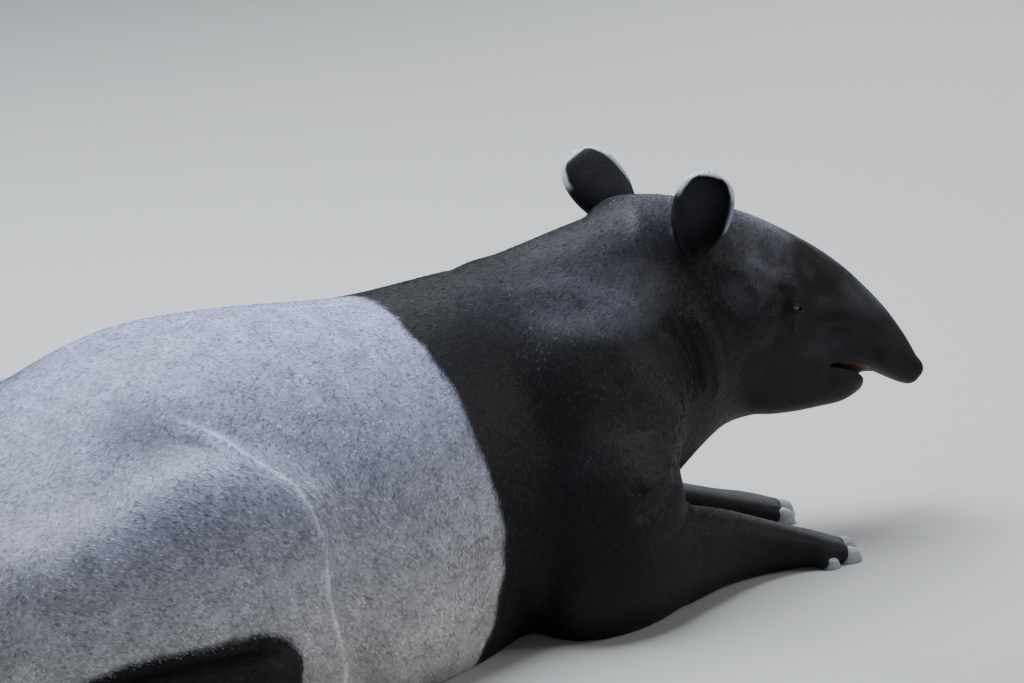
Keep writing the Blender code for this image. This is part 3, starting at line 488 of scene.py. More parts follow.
# Dust, pale hairs and painted sheen on the black: centre on the right side, reach and colour. Most are
# painted highlights where light from above catches the glossy hair.
DUST_AND_PAINTED_SHEEN = (
    ((0.36, -0.10, 0.48), (0.25, 0.12, 0.07), (0.023, 0.024, 0.033)),  # behind the shoulder blade's top, painted sheen
    ((0.42, -0.125, 0.46), (0.16, 0.10, 0.070), (0.072, 0.074, 0.098)),  # edge of the shoulder blade, painted highlight
    ((0.43, -0.20, 0.29), (0.14, 0.14, 0.12), (0.032, 0.030, 0.029)),  # upper arm
    ((0.55, 0.00, 0.56), (0.30, 0.14, 0.09), (0.050, 0.051, 0.068)),  # crest of the neck, painted sheen
    ((0.785, -0.07, 0.49), (0.090, 0.095, 0.080), (0.100, 0.103, 0.128)),  # forehead, painted sheen
    ((0.717, -0.119, 0.431), (0.060, 0.050, 0.050), (0.045, 0.047, 0.058)),  # cheekbone, painted highlight
    ((0.992, -0.095, 0.370), (0.080, 0.055, 0.050), (0.042, 0.044, 0.054)),  # top of the snout, painted sheen
    ((0.900, -0.109, 0.301), (0.070, 0.050, 0.022), (0.022, 0.022, 0.028)),  # above the upper lip
    ((0.68, -0.07, 0.09), (0.16, 0.09, 0.05), (0.060, 0.062, 0.068)),  # left foreleg
)

LEFT_DUST_AND_SHEEN = 0.35  # how much of the dust and painted sheen there is on the left side, against the right
DUST_AND_SHEEN_FADE = 0.06  # distance from the middle over which that changes
DUST_AND_SHEEN_SPOTS = (0.6, 0.8, 0.016)  # as SPOTS

# Coat, with sizes in metres
COAT_SEED = 4601
TUFTS = 620000
TUFTS_PER_PIECE = 98000
UV_NAME, UV_PATCH, UNWRAP_FACES = "OFBake", 0.003, 12000
HAIR_BODY, HAIR_FOOT, HAIR_EAR, HAIR_FRINGE = 0.0070, 0.0050, 0.0030, 0.0020
HAIR_FACE = ((-0.06, 0.0100), (0.10, 0.0070), (0.25, 0.0050), (0.40, 0.0035), (0.53, 0.0025))  # x and length
HAIR_CROWDED = 0.004  # tufts shorter than this stand no closer
# Where the hair changes from the body's length to that of feet, head and lids
FOOT_HAIR_HEIGHT, FOOT_HAIR_OUT = (-0.10, -0.03), (0.27, 0.30)  # heights turned round, and from the middle
FOREFOOT_START = 0.5  # X from which all that is low counts as foot
FORE_HAIR_START, FORE_HAIR_TOP = (0.60, 0.70), 0.13  # X and the greatest height
HEAD_HAIR_START, HEAD_HAIR_BOTTOM = (-0.06, 0.02), 0.15  # X in the head's frame, and the least height
EYE_HAIR_REACH, EYE_HAIR_LESS = (-0.045, -0.025), 0.55  # reach round the eye, turned round, and how much less
BARE_RIM = 0.0012  # bare skin round the slit of the eye
BARE_SOLE = 0.004  # height above the ground under which no hair grows
BARE_MOUTH, BARE_NOSTRIL = 0.05, 0.1  # how far inside them, from 0 to 1, no more hair grows
HAIR_WIDTH = 0.038  # half width of a tuft as a part of its length
HAIR_LIFT = 0.15  # rise of the tip as a part of the length
HAIR_SUNK = 0.0005
HAIR_ROLL = 0.35  # radians by which tufts lie rolled about themselves
HAIR_BEND, HAIR_BEND_RISE = 0.45, 0.65  # where a tuft bends: along it, and its rise against the tip's
# The least of a value that varies from tuft to tuft, and what chance adds to it
LIFT_RANGE, LENGTH_RANGE, WIDTH_RANGE, SHADE_RANGE = (0.6, 0.8), (0.75, 0.5), (0.7, 0.6), (0.75, 0.50)
WHORL = (0.006, 0.7, 0.14)  # size of the spots in which hair lies askew, how much, and each tuft's own part
CLUMP_SIZE = 0.0034  # across
CLUMP_GAP_PAINTED_SHADE, CLUMP_PAINTED_LIGHT = 0.30, 1.44  # painted shade of the tufts in the gaps between clumps, and painted light on the clumps
CLUMP_TILT = 1.2  # how strongly a clump leans in its shading
CLUMP_EDGE = (0.34, 0.66)  # how sharply clumps end
BORDER_BLUR = 0.0050  # how far hair of one colour strays over the border of the other
EAR_BLUR = 0.2  # how much of that there is on the ears
BLADE_SHINE = 0.80  # how strongly a tuft's own facing counts in its shading, against the skin's
HAIR_DROOP = -0.45  # how strongly the lie of the hair turns down
NEAREST_PATH, PATH_FALL = 0.2, 6  # the least distance that counts, against the reach, and how fast it fades
# Lines along which the hair lies, from where it starts to where it points, and their reach
BODY_PATHS = (
    ((0.50, 0, 0.42), (-0.98, 0, 0.30), 0.24),
    ((0.66, 0, 0.42), (0.40, 0, 0.34), 0.16),
    ((-0.90, 0, 0.204), (-0.98, 0, 0.11), 0.03),
)
FACE_PATH = ((0.56, 0, -0.03), (-0.03, 0, -0.02), 0.09)  # in the head's frame
ARM_PATH = ((0.33, 0.19, 0.36), (0.40, 0.235, 0.12), 0.12)  # on the left side
LIMB_REACHES = (0.15, 0.035, 0.03, 0.07)  # thigh, shank, hind foot and foreleg
REAR_EDGE = {RIGHT: -1, LEFT: 1}  # the sign across the ear on which its rear edge lies
HAIR_FINISH = {
    "pale": {"Roughness": 0.55, "Specular_IOR_Level": 0.4},
    "black": {"Roughness": 0.46, "Specular_IOR_Level": 0.26, "Sheen_Weight": 0.04, "Sheen_Roughness": 0.4},
}

HOOF_LEVELS = ((0.0, 0.97), (0.06, 1.0), (0.35, 0.93), (0.70, 0.78), (0.93, 0.48), (1.0, 0.10))
HOOF_LEAN = 0.25  # how far the wall leans back, as a part of the length
HOOF_SIDES = 60
HOOF_FULLNESS = 2.3  # 2 would make its outline an ellipse
HOOF_RELIEF = 0.006  # height of ridges and growth rings, against the hoof's size
HOOF_RIDGES, HOOF_GROWTH = 29, (40, 2)  # ridges around; how close the rings are, and how much they slant
CORNEA_RISE, CORNEA_ANGLES = 0.0012, (-30, -8)  # its height, and degrees off the axis, turned round

# Light: name, place, size, power in watts and colour
LIGHTS = (
    ("sky_light", (0.1, 1.5, 3.9), 3.0, 420, (0.87, 0.93, 1.0)),
    ("key_light", (4.2, -2.2, 2.6), 1.6, 70, (1.0, 0.98, 0.95)),
    ("rim_light", (4.0, 2.5, 1.8), 2.5, 60, (0.92, 0.96, 1.0)),
    ("front_light", (-0.5, -4.8, 1.6), 2.5, 22, (0.98, 0.97, 0.96)),
)
SKY_COLOUR, SKY_STRENGTH = (0.75, 0.82, 1.0, 1), 0.10
SENSOR_WIDTH = 36.0  # mm


# Making meshes


def new_object(name, bm):
    bm.normal_update()
    bmesh.ops.recalc_face_normals(bm, faces=bm.faces)
    mesh = bpy.data.meshes.new(name)
    bm.to_mesh(mesh)
    bm.free()
    obj = bpy.data.objects.new(name, mesh)
    bpy.context.scene.collection.objects.link(obj)
    return obj


def smooth_rows(rows, per_span):
    """The rows of sizes with smooth steps between them, by a Catmull-Rom curve through every row."""
    rows = np.asarray(rows, float)
    padded = np.vstack([2 * rows[0] - rows[1], rows, 2 * rows[-1] - rows[-2]])
    made = []
    for i in range(1, len(padded) - 2):
        before, start, end, after = padded[i - 1 : i + 3]
        for t in np.arange(per_span) / per_span:
            linear = (end - before) * t
            square = (2 * before - 5 * start + 4 * end - after) * t**2
            cubic = (3 * start - before - 3 * end + after) * t**3
            made.append(0.5 * (2 * start + linear + square + cubic))
    made.append(rows[-1])
    return np.array(made)


def skin_rings(rings, name):
    """A closed tube of triangles through rings of equally many points, with a fan at each end."""
    bm = bmesh.new()
    made = [[bm.verts.new(p) for p in ring] for ring in rings]
    count = len(made[0])
    for near, far in zip(made, made[1:]):
        for i in range(count):
            j = (i + 1) % count
            bm.faces.new((near[i], near[j], far[j]))
            bm.faces.new((near[i], far[j], far[i]))
    for ring in (made[0], made[-1]):
        middle = bm.verts.new(sum((v.co for v in ring), Vector()) / count)
        for i in range(count):
            bm.faces.new((ring[i], ring[(i + 1) % count], middle))
    return new_object(name, bm)


def rounded(value, fullness):
    """A sine or cosine whose section is fuller than an ellipse where fullness is above 2."""
    return math.copysign(abs(value) ** (2 / fullness), value)


def upright_loft(rows, name, sides=48, per_span=6):
    """A loft along X with upright sections, each from its top, widest level, half width and underside."""
    rings = []
    for x, top, level, half, under, above, below in smooth_rows(rows, per_span):
        ring = []
        for i in range(sides):
            angle = 2 * math.pi * i / sides
            rise, fullness = (top - level, above) if math.sin(angle) > 0 else (level - under, below)
            y = half * rounded(math.cos(angle), fullness)
            ring.append((x, y, level + rise * rounded(math.sin(angle), fullness)))
        rings.append(ring)
    return skin_rings(rings, name)


def limb_loft(rows, name, side=LEFT, sides=32, per_span=6):
    """A loft along a bent path. Each section lies square to the path, its width as level as it can be."""
    rows = smooth_rows(rows, per_span)
    centres = rows[:, :3] * (1, side, 1)
    last = len(rows) - 1
    rings = []
    for i, row in enumerate(rows):
        ahead = Vector(centres[min(i + 1, last)] - centres[max(i - 1, 0)]).normalized()
        # Where the path is steep, its width lies along Y
        width = Vector((-ahead.y, ahead.x, 0)) if abs(ahead.x) > STEEP_LIMB else Vector((0, 1, 0))
        width = width.normalized() * math.copysign(1, width.y)
        rise = ahead.cross(width)
        # The upper side is the one that faces up, or back where the path is steep
        rise = rise if rise.z - 0.5 * rise.x > 0 else -rise
        half, above, below = row[3:6]
        ring = []
        for k in range(sides):
            angle = 2 * math.pi * k / sides
            depth = above if math.sin(angle) > 0 else below
            sideways = width * half * rounded(math.cos(angle), LIMB_FULLNESS)
            upward = rise * depth * rounded(math.sin(angle), LIMB_FULLNESS)
            ring.append(Vector(centres[i]) + sideways + upward)
        rings.append(ring)
    return skin_rings(rings, name)


def ellipsoid(name, centre, sizes, turn=None, segments=32):
    bm = bmesh.new()
    bmesh.ops.create_uvsphere(bm, u_segments=segments, v_segments=segments // 2, radius=1)
    bm.transform(Matrix.Translation(centre) @ (turn or Matrix.Identity(4)) @ Matrix.Diagonal((*sizes, 1)))
    return new_object(name, bm)


def head_matrix():
    """Carries the head's own frame to the animal's."""
    turn = Matrix.Rotation(HEAD_YAW, 4, "Z") @ Matrix.Rotation(HEAD_PITCH, 4, "Y")
    return Matrix.Translation(HEAD_ORIGIN) @ turn


def place(obj, matrix):
    obj.data.transform(matrix)
    if matrix.determinant() < 0:
        obj.data.flip_normals()
    return obj


def join(objects, name):
    """One object that holds the meshes of all of these, still overlapping."""
    bm = bmesh.new()
    for obj in objects:
        bm.from_mesh(obj.data)
        bpy.data.objects.remove(obj)
    return new_object(name, bm)


def surface_tree(obj):
    """A tree that finds the nearest point on the surface of obj."""
    return BVHTree.FromPolygons(read_places(obj).tolist(), [tuple(f.vertices) for f in obj.data.polygons])


def apply_modifiers(obj):
    graph = bpy.context.evaluated_depsgraph_get()
    mesh = bpy.data.meshes.new_from_object(obj.evaluated_get(graph))
    obj.modifiers.clear()
    obj.data = mesh
    return obj


def fuse(obj, voxel, rounding):
    """Fuses the overlapping shapes of obj into one surface and rounds where they meet."""
    remesh = obj.modifiers.new("fuse", "REMESH")
    remesh.mode = "VOXEL"
    remesh.voxel_size = voxel
    smooth = obj.modifiers.new("round", "SMOOTH")
    smooth.factor = 0.5
    smooth.iterations = rounding
    return apply_modifiers(obj)


def boolean(obj, cutter, operation, solver="EXACT"):
    """Cuts obj by cutter, or joins them, and removes the cutter."""
    modifier = obj.modifiers.new("boolean", "BOOLEAN")
    modifier.object = cutter
    modifier.operation = operation
    modifier.solver = solver
    apply_modifiers(obj)
    bpy.data.objects.remove(cutter)
    return obj


# The animal's forms


def beads(rows, side):
    """Round beads along a smooth line, so close that they fuse to one fold."""
    line = smooth_rows(rows, 6)
    return [ellipsoid("bead", (x, side * y, z), (r, r, r), segments=16) for x, y, z, r in line]


def masses():
    made = []
    for side in (RIGHT, LEFT):
        for centre, sizes, lean in MASSES:
            turn = Matrix.Rotation(math.radians(lean), 4, "Y")
            made.append(ellipsoid("mass", (centre[0], side * centre[1], centre[2]), sizes, turn))
    return made


def limb_roots():
    return [limb_loft(rows, "limb", side) for side in (RIGHT, LEFT) for rows in (THIGH, FORE_LEG[side])]


def head_forms():
    made = [upright_loft(SKULL, "skull"), upright_loft(JAW, "jaw")]
    return [place(piece, head_matrix()) for piece in made]


def torso_form(limbs):
    """Trunk, neck and head with the great muscles and the limbs given, all well rounded into each other."""
    forms = [upright_loft(TRUNK, "trunk")] + masses() + head_forms() + limbs
    return fuse(join(forms, "body"), TORSO_VOXEL, TORSO_ROUNDING)


def toe_matrix(foot, side, toe):
    """Carries a toe's frame, X ahead and origin on the ground under the hoof, to the animal's."""
    x, y, turn = FOOT_CENTRES[foot, side]
    heading = Matrix.Rotation(math.radians(turn) * side, 4, "Z")
    return Matrix.Translation((x, side * y, 0)) @ heading @ Matrix.Translation((toe[0], side * toe[1], 0))


def all_toes():
    for foot, toes in (("forefoot", FORE_TOES), ("hindfoot", HIND_TOES)):
        for side in (RIGHT, LEFT):
            for number, toe in enumerate(toes, 1):
                yield foot, side, number, toe


def limb_ends():
    """The limbs' thin ends, toes and thighs' edges, which keep their shape as they are rounded less."""
    made = []
    for side in (RIGHT, LEFT):
        made.append(limb_loft(FORE_LEG[side][FOREARM_START:], "fore", side))
        made.append(limb_loft(SHANK, "shank", side))
        made.append(limb_loft(HIND_FOOT, "foot", side))
        made += beads(THIGH_EDGE, side)
    for foot, side, _, toe in all_toes():
        centre, sizes = (Vector(v) * toe[2] for v in KNUCKLE)
        made.append(place(ellipsoid("toe", centre, sizes), toe_matrix(foot, side, toe)))
    made.append(limb_loft(TAIL, "tail"))
    return made


# Shaping the skin: everything here works on arrays of places


def read_places(obj):
    places = np.empty(len(obj.data.vertices) * 3, np.float32)
    obj.data.vertices.foreach_get("co", places)
    return places.reshape(-1, 3).astype(float)


def read_normals(obj):
    normals = np.empty(len(obj.data.vertices) * 3, np.float32)
    obj.data.vertex_normals.foreach_get("vector", normals)
    return normals.reshape(-1, 3).astype(float)


def write_places(obj, places):
    obj.data.vertices.foreach_set("co", places.astype(np.float32).ravel())
    obj.data.update()


def carry(places, matrix):
    """The places carried by a 4 by 4 matrix."""
    matrix = np.array(matrix)
    return places @ matrix[:3, :3].T + matrix[:3, 3]


def ramp(values, start, end):
    """Rises smoothly from 0 at start to 1 at end."""
    t = np.clip((values - start) / (end - start), 0, 1)
    return t * t * (3 - 2 * t)


def mottle(places, size, seed=0):
    """Smooth random values from 0 to 1, in spots of about the given size."""
    cell = np.floor(places / size).astype(np.int64)
    part = places / size - cell
    part = part * part * (3 - 2 * part)
    total = np.zeros(len(places))
    for corner in np.ndindex(2, 2, 2):
        key = (cell + corner) @ np.array((73856093, 19349663, 83492791)) + seed * 2654435761
        key = (key ^ (key >> 13)) * 1274126177
        value = ((key ^ (key >> 16)) & 0xFFFF) / 0xFFFF
        total += value * np.prod(np.where(corner, part, 1 - part), axis=1)
    return total


def along_line(places, points):
    """Each place's distance from a smooth line through points, and how far along it lies, from 0 to 1."""
    line = smooth_rows(points, 5)
    steps = np.linalg.norm(np.diff(line, axis=0), axis=1)
    starts = np.concatenate([[0], np.cumsum(steps)])
    nearest = np.full(len(places), np.inf)
    along = np.zeros(len(places))
    for near, far, start, step in zip(line, line[1:], starts, steps):
        t = np.clip((places - near) @ (far - near) / step**2, 0, 1)
        gap = np.linalg.norm(places - near - t[:, None] * (far - near), axis=1)
        closer = gap < nearest
        nearest[closer] = gap[closer]
        along[closer] = start + t[closer] * step
    return nearest, along / starts[-1]


def fold(obj, points, half_width, height):
    """Raises a ridge, or sinks a crease where height is below 0, along a line that fades at its ends."""
    places = read_places(obj)
    points = np.array(points)
    reach = 3 * half_width
    near = np.all((places > points.min(0) - reach) & (places < points.max(0) + reach), axis=1)
    gap, along = along_line(places[near], points)
    shape = np.exp(-((gap / half_width) ** 2)) * ramp(along, 0, 0.25) * ramp(-along, -1, -0.8)
    places[near] += read_normals(obj)[near] * (height * shape)[:, None]
    write_places(obj, places)


def swell(obj, centre, reach, height):
    """Moves the skin near centre out along its normals by up to height, and fades to nothing at reach."""
    places = read_places(obj)
    distance = np.sum(((places - centre) / reach) ** 2, axis=1)
    fade = np.clip(1 - distance, 0, 1) ** 2
    write_places(obj, places + read_normals(obj) * (height * fade)[:, None])


def refine(obj, chosen):
    """Splits in four the faces whose vertices are all chosen."""
    bm = bmesh.new()
    bm.from_mesh(obj.data)
    edges = [e for e in bm.edges if chosen[e.verts[0].index] and chosen[e.verts[1].index]]
    bmesh.ops.subdivide_edges(bm, edges=edges, cuts=1, use_grid_fill=True)
    bm.to_mesh(obj.data)
    bm.free()


def relax(obj, weight, rounds):
    """Evens out the places of vertices with their neighbours', by weight from 0 to 1."""
    edges = np.empty(len(obj.data.edges) * 2, np.int32)
    obj.data.edges.foreach_get("vertices", edges)
    edges = edges.reshape(-1, 2)
    one, other = edges[(weight[edges] > 0).any(axis=1)].T
    places = read_places(obj)
    size = len(places)
    count = np.bincount(one, minlength=size) + np.bincount(other, minlength=size)
    moved = np.flatnonzero((weight > 0) & (count > 0))
    for _ in range(rounds):
        for axis in range(3):
            column = places[:, axis]
            total = np.bincount(one, column[other], size) + np.bincount(other, column[one], size)
            mean = total[moved] / count[moved]
            places[moved, axis] += (mean - column[moved]) * weight[moved]
    write_places(obj, places)


def eye_frame(side):
    """Carries the eye's frame to the head's: X along the slit, Z up, Y out of the head."""
    centre = Vector((EYE.x, side * EYE.y, EYE.z))
    outward = Matrix.Rotation(EYE_TURN * side, 4, "Z")
    mirror = Matrix.Diagonal((1, side, 1, 1))
    return Matrix.Translation(centre) @ outward @ Matrix.Rotation(SLIT_TURN, 4, "Y") @ mirror


def to_eye(places, side):
    """Places in the head's frame carried to one eye's frame."""
    return carry(places, eye_frame(side).inverted())


def within(values, span, margin=0.0):
    """Which values lie between the ends of span, widened by margin."""
    return (values > span[0] - margin) & (values < span[1] + margin)


def near_features(places, eye_reach, margin):
    """Which places in the head's frame are near the eyes, the lips or the nostrils."""
    x, _, z = places.T
    eyes = np.minimum(*(np.linalg.norm(to_eye(places, side), axis=1) for side in (RIGHT, LEFT)))
    lips = within(x, FINE_LIPS[0], margin) & within(z, FINE_LIPS[1], margin)
    tip = within(x, FINE_TIP[0], margin) & within(z, FINE_TIP[1], margin)
    return (eyes < eye_reach) | lips | tip


def split_face(skin):
    """Makes the mesh finer in steps: the head, neck and shoulders, and then twice the face's features."""
    inverse = head_matrix().inverted()
    x, _, z = carry(read_places(skin), inverse).T
    refine(skin, within(x, FINE_HEAD[0]) & within(z, FINE_HEAD[1]))
    x, y, z = read_places(skin).T
    shoulder = within(x, FINE_SHOULDER[0]) & within(z, FINE_SHOULDER[1])
    refine(skin, shoulder & (np.abs(y) > FINE_SHOULDER_OUT))
    for eye_reach, margin in FINE_STEPS:
        refine(skin, near_features(carry(read_places(skin), inverse), eye_reach, margin))


def fit_head(skin):
    """Draws the head's skin onto the finer form of the head."""
    fine = fuse(join([torso_form([])] + head_forms(), "head"), HEAD_VOXEL, HEAD_ROUNDING)
    tree = surface_tree(fine)
    places = read_places(skin)
    pull = ramp(carry(places, head_matrix().inverted())[:, 0], *HEAD_FIT_START)
    moved = np.flatnonzero(pull > 0)
    found = [tree.find_nearest(places[i], HEAD_FIT_REACH) for i in moved]
    nearest = np.array([point or places[i] for (point, *_), i in zip(found, moved)])
    gap = np.linalg.norm(nearest - places[moved], axis=1)
    fade = pull[moved] * ramp(-gap, -HEAD_FIT_REACH, -HEAD_FIT_REACH / 2)
    places[moved] += (nearest - places[moved]) * fade[:, None]
    write_places(skin, places)
    bpy.data.objects.remove(fine)


def lid_surface(along, up, out):
    """How far out the lids stand at places along and up from the eye's centre, where the face is at out."""
    # The mound of the closed lids, blended into the face
    mound = LIDS[1] * np.sqrt(np.clip(1 - (along / LIDS[0]) ** 2 - (up / LIDS[2]) ** 2, 0, 1))
    height = (out + mound + np.sqrt((out - mound) ** 2 + LID_BLEND**2)) / 2
    height = np.where(mound > 0, height, out)
    # Where the slit's edges run. Both meet in its corners.
    bow = np.sqrt(np.clip(1 - (along / SLIT[0]) ** 2, 0, 1))
    upper = SLIT[1] * SLIT_BOW[0] * bow
    lower = -SLIT[1] * SLIT_BOW[1] * bow
    inside = np.minimum(upper - up, up - lower)
    inside[np.abs(along) >= SLIT[0]] = -1
    edge = np.where(up > (upper + lower) / 2, up - upper, lower - up)
    edge = np.maximum(edge, np.abs(along) - SLIT[0])
    height = height + LID_RIM[0] * np.exp(-((edge / LID_RIM[1]) ** 2)) * (inside <= 0)
    for offset, depth, width in LID_CREASES:
        bend = LID_CREASE_BEND * along**2 / LIDS[0] * np.sign(offset)
        path = np.where(offset > 0, upper, lower) + offset - bend
        fade = np.clip(1 - (along / (LIDS[0] * LID_CREASE_REACH)) ** 2, 0, 1)
        height = height - depth * fade * np.exp(-(((up - path) / width) ** 2))
    ball = np.sqrt(np.clip(EYE_RADIUS**2 - along**2 - up**2, 0, 1)) - EYE_SET
    return np.where(inside > 0, height + (ball - height) * ramp(inside, 0.0, SLIT_STEP), height)


def shape_lids(places):
    """Rounds the lids over each eyeball and opens a slit between them. Works in the head's frame."""
    for side in (RIGHT, LEFT):
        local = to_eye(places, side)
        x, y, z = local.T
        near = (np.abs(x) < LID_BOX[0]) & (np.abs(z) < LID_BOX[1]) & (y > LID_BOX[2])
        local[near, 1] = lid_surface(x[near], z[near], y[near])
        places[near] = carry(local, eye_frame(side))[near]
    return places


def mouth_inside(places):
    """How far each place in the head's frame is inside the mouth, from 0 to 1, and how near the upper lip."""
    x, _, z = places.T
    upper = np.interp(x, *smooth_rows(UPPER_LIP, 6).T)
    lower = np.interp(x, *smooth_rows(LOWER_LIP, 6).T)
    inside = ramp(upper - z, 0.0, UPPER_LIP_ROLL) * ramp(z - lower, 0.0, LOWER_LIP_ROLL)
    inside = inside * ramp(x, UPPER_LIP[0][0], UPPER_LIP[0][0] + MOUTH_CORNER) * ramp(-x, *MOUTH_FADE)
    height = np.clip((z - lower) / np.maximum(upper - lower, 1e-4), 0, 1)
    return inside, height


def shape_mouth(places):
    """Draws the skin between the lips back and rounds the lips' edges. Works in the head's frame."""
    inside, _ = mouth_inside(places)
    centre = np.array((THROAT_POINT, 0))
    places[:, :2] += (centre - places[:, :2]) * (MOUTH_DEPTH * inside)[:, None]
    return places


def in_nostril(places):
    """How deep each place in the head's frame lies in a slanted nostril, from 0 to 1."""
    centre, _ = NOSTRIL
    deepest = np.zeros(len(places))
    for side in (RIGHT, LEFT):
        local = places - (centre[0], side * centre[1], centre[2])
        across = local[:, 1] * side * math.cos(NOSTRIL_SLANT) + local[:, 2] * math.sin(NOSTRIL_SLANT)
        upward = local[:, 2] * math.cos(NOSTRIL_SLANT) - local[:, 1] * side * math.sin(NOSTRIL_SLANT)
        distance = (across / NOSTRIL[1][1]) ** 2 + (upward / NOSTRIL[1][2]) ** 2
        deepest = np.maximum(deepest, ramp(-distance, -1, -NOSTRIL_EDGE) * (local[:, 0] > NOSTRIL_BEHIND))
    return deepest


def shape_nostrils(places):
    """Sinks a nostril into each side of the snout's tip."""
    places[:, 0] -= NOSTRIL_DEPTH * in_nostril(places)
    return places


def ear_axes(side):
    """Root of the ear, and its directions across, along and towards its opening, in the head's frame."""
    root, tip, facing = (Vector(p) for p in EARS[side])
    along = (tip - root).normalized()
    facing = (facing - facing.dot(along) * along).normalized()
    return root, facing.cross(along), along, facing


def leaf(rows, name, side, sides=48, per_span=8):
    """A flattened loft in the ear's frame, carried to the head's frame."""
    root, across, along, facing = ear_axes(side)
    rings = []
    for length, half, depth, shift in smooth_rows(rows, per_span):
        centre = root + along * length + facing * shift
        angles = (2 * math.pi * k / sides for k in range(sides))
        half, depth = max(half, EAR_THINNEST), max(depth, EAR_THINNEST)
        rings.append([centre + across * half * math.cos(a) + facing * depth * math.sin(a) for a in angles])
    return skin_rings(rings, name)


def ear(side):
    made = boolean(leaf(EAR_LEAF, "ear", side), leaf(EAR_CUP, "cup", side), "DIFFERENCE")
    return place(fuse(made, EAR_VOXEL, EAR_ROUNDING), head_matrix())


def add_ears(skin):
    """Joins the ears to the skin and rounds their roots into it."""
    for side in (RIGHT, LEFT):
        bare = surface_tree(skin)
        made = ear(side)
        leaf_tree = surface_tree(made)
        boolean(skin, made, "UNION", "MANIFOLD")
        places = read_places(skin)
        weight = np.zeros(len(places))
        root = head_matrix() @ Vector(EARS[side][0])
        for i in np.flatnonzero(np.linalg.norm(places - root, axis=1) < EAR_ROOT_REACH):
            gap = leaf_tree.find_nearest(places[i])[3] + bare.find_nearest(places[i])[3]
            weight[i] = math.exp(-((gap / EAR_ROOT_BLEND) ** 2))
        relax(skin, weight, EAR_ROOT_ROUNDS)


def build_skin():
    forms = [torso_form(limb_roots())] + limb_ends() + head_forms()
    skin = fuse(join(forms, "skin"), SKIN_VOXEL, SKIN_ROUNDING)
    split_face(skin)
    fit_head(skin)
    for points, half_width, height in BOTH_SIDES:
        for side in (RIGHT, LEFT):
            fold(skin, np.array(points) * (1, side, 1), half_width, height)
    for points, half_width, height in NECK_FOLDS:
        fold(skin, points, half_width, height)
    write_places(skin, read_places(skin) - read_normals(skin) * SKIN_DEPTH)
    place(skin, head_matrix().inverted())
    for side in (RIGHT, LEFT):
        for centre, reach, height in FACE_RELIEF + FACE_DETAIL:
            swell(skin, np.array(centre) * (1, side, 1), np.array(reach), height)
        for points, half_width, height in FACE_FOLDS:
            fold(skin, np.array(points) * (1, side, 1), half_width, height)
    start, full, weight, rounds = FACE_SMOOTHING
    relax(skin, ramp(read_places(skin)[:, 0], start, full) * weight, rounds)
    write_places(skin, shape_nostrils(shape_mouth(shape_lids(read_places(skin)))))
    place(skin, head_matrix())
    add_ears(skin)
    places = read_places(skin)
    places[:, 2] = np.maximum(places[:, 2], GROUND_GAP)
    write_places(skin, places)
    skin.data.shade_smooth()
    return skin


# Markings, painted light and shade, and the lie of the hair. All take places in the animal's frame unless
# they say otherwise.


def to_head(places):
    return carry(places, head_matrix().inverted())


def to_ear(places, side):
    """Places carried to one ear's frame: along it, across it, and out of its cup."""
    root, across, along, facing = (np.array(v) for v in ear_axes(side))
    local = to_head(places) - root
    return np.stack([local @ along, local @ across, local @ facing], axis=1)


def on_ear(places, side):
    """How surely each place is on the free part of an ear, from 0 to 1."""
    along, across, out = to_ear(places, side).T
    half = np.interp(along, *np.array(EAR_LEAF).T[:2])
    depth = np.interp(along, *np.array(EAR_LEAF).T[[0, 2]])
    beside, before, end = EAR_MARGIN
    near = (np.abs(across) < half + beside) & (np.abs(out) < depth + before) & (along < end)
    return ramp(along, *EAR_FREE) * near


def ear_rim(places, side):
    """How white each place is on an ear's edge, from 0 to 1: most at the tip, less down the rear edge."""
    along, across, out = to_ear(places, side).T
    half = np.interp(along, *np.array(EAR_LEAF).T[:2])
    edge = np.abs(across) / np.maximum(half, EAR_MARGIN[0])
    tip = ramp(along, *EAR_TIP_START)
    rear = EAR_REAR_WHITE * (across * REAR_EDGE[side] > 0) * ramp(along, *EAR_REAR_START)
    rim = ramp(edge, *EAR_RIM_START) * np.maximum(tip, rear)
    rim = np.maximum(rim, ramp(along, *EAR_TIP_END))
    return rim * on_ear(places, side) * (out > EAR_RIM_BACK)


def blackness(places):
    """1 on the black forequarters and stockings, 0 on the pale saddle, with borders as wavy as the hair."""
    x, y, z = places.T
    wave = sum(height * (mottle(places, length, seed) - 0.5) for height, length, seed in BORDER_WAVES)
    border = np.interp(z, *np.array(SADDLE_LINE).T)
    black = ramp(x + wave - border, -BORDER_WIDTH, BORDER_WIDTH)
    stocking = np.interp(x, *np.array(STOCKING_LINE).T)
    outer = ramp(np.abs(y), *STOCKING_INNER)
    leg = ramp(stocking + wave - z, -BORDER_WIDTH, BORDER_WIDTH) * outer * (x < STOCKING_LINE[-1][0])
    black = np.maximum(black, leg)
    for side in (RIGHT, LEFT):
        black *= 1 - ear_rim(places, side)
    return black


def patch(places, centre, reach):
    """1 at centre, fading to 0 at reach."""
    return np.clip(1 - np.sum(((places - centre) / reach) ** 2, axis=1), 0, 1)


def crest_gap(mirrored):
    """The distance from the crest of the thigh, or infinity where it is further than the margin."""
    gap = np.full(len(mirrored), np.inf)
    line = np.array(THIGH_CREST) * (1, RIGHT, 1)
    low, high = line.min(0) - CREST_MARGIN, line.max(0) + CREST_MARGIN
    near = np.flatnonzero(np.all((mirrored > low) & (mirrored < high), axis=1))
    gap[near] = along_line(mirrored[near], line)[0]
    return gap


def spotted(places, least, added, size, seed):
    """A shade that varies from least to least + added, in spots of the given size."""
    return least + added * mottle(places, size, seed)


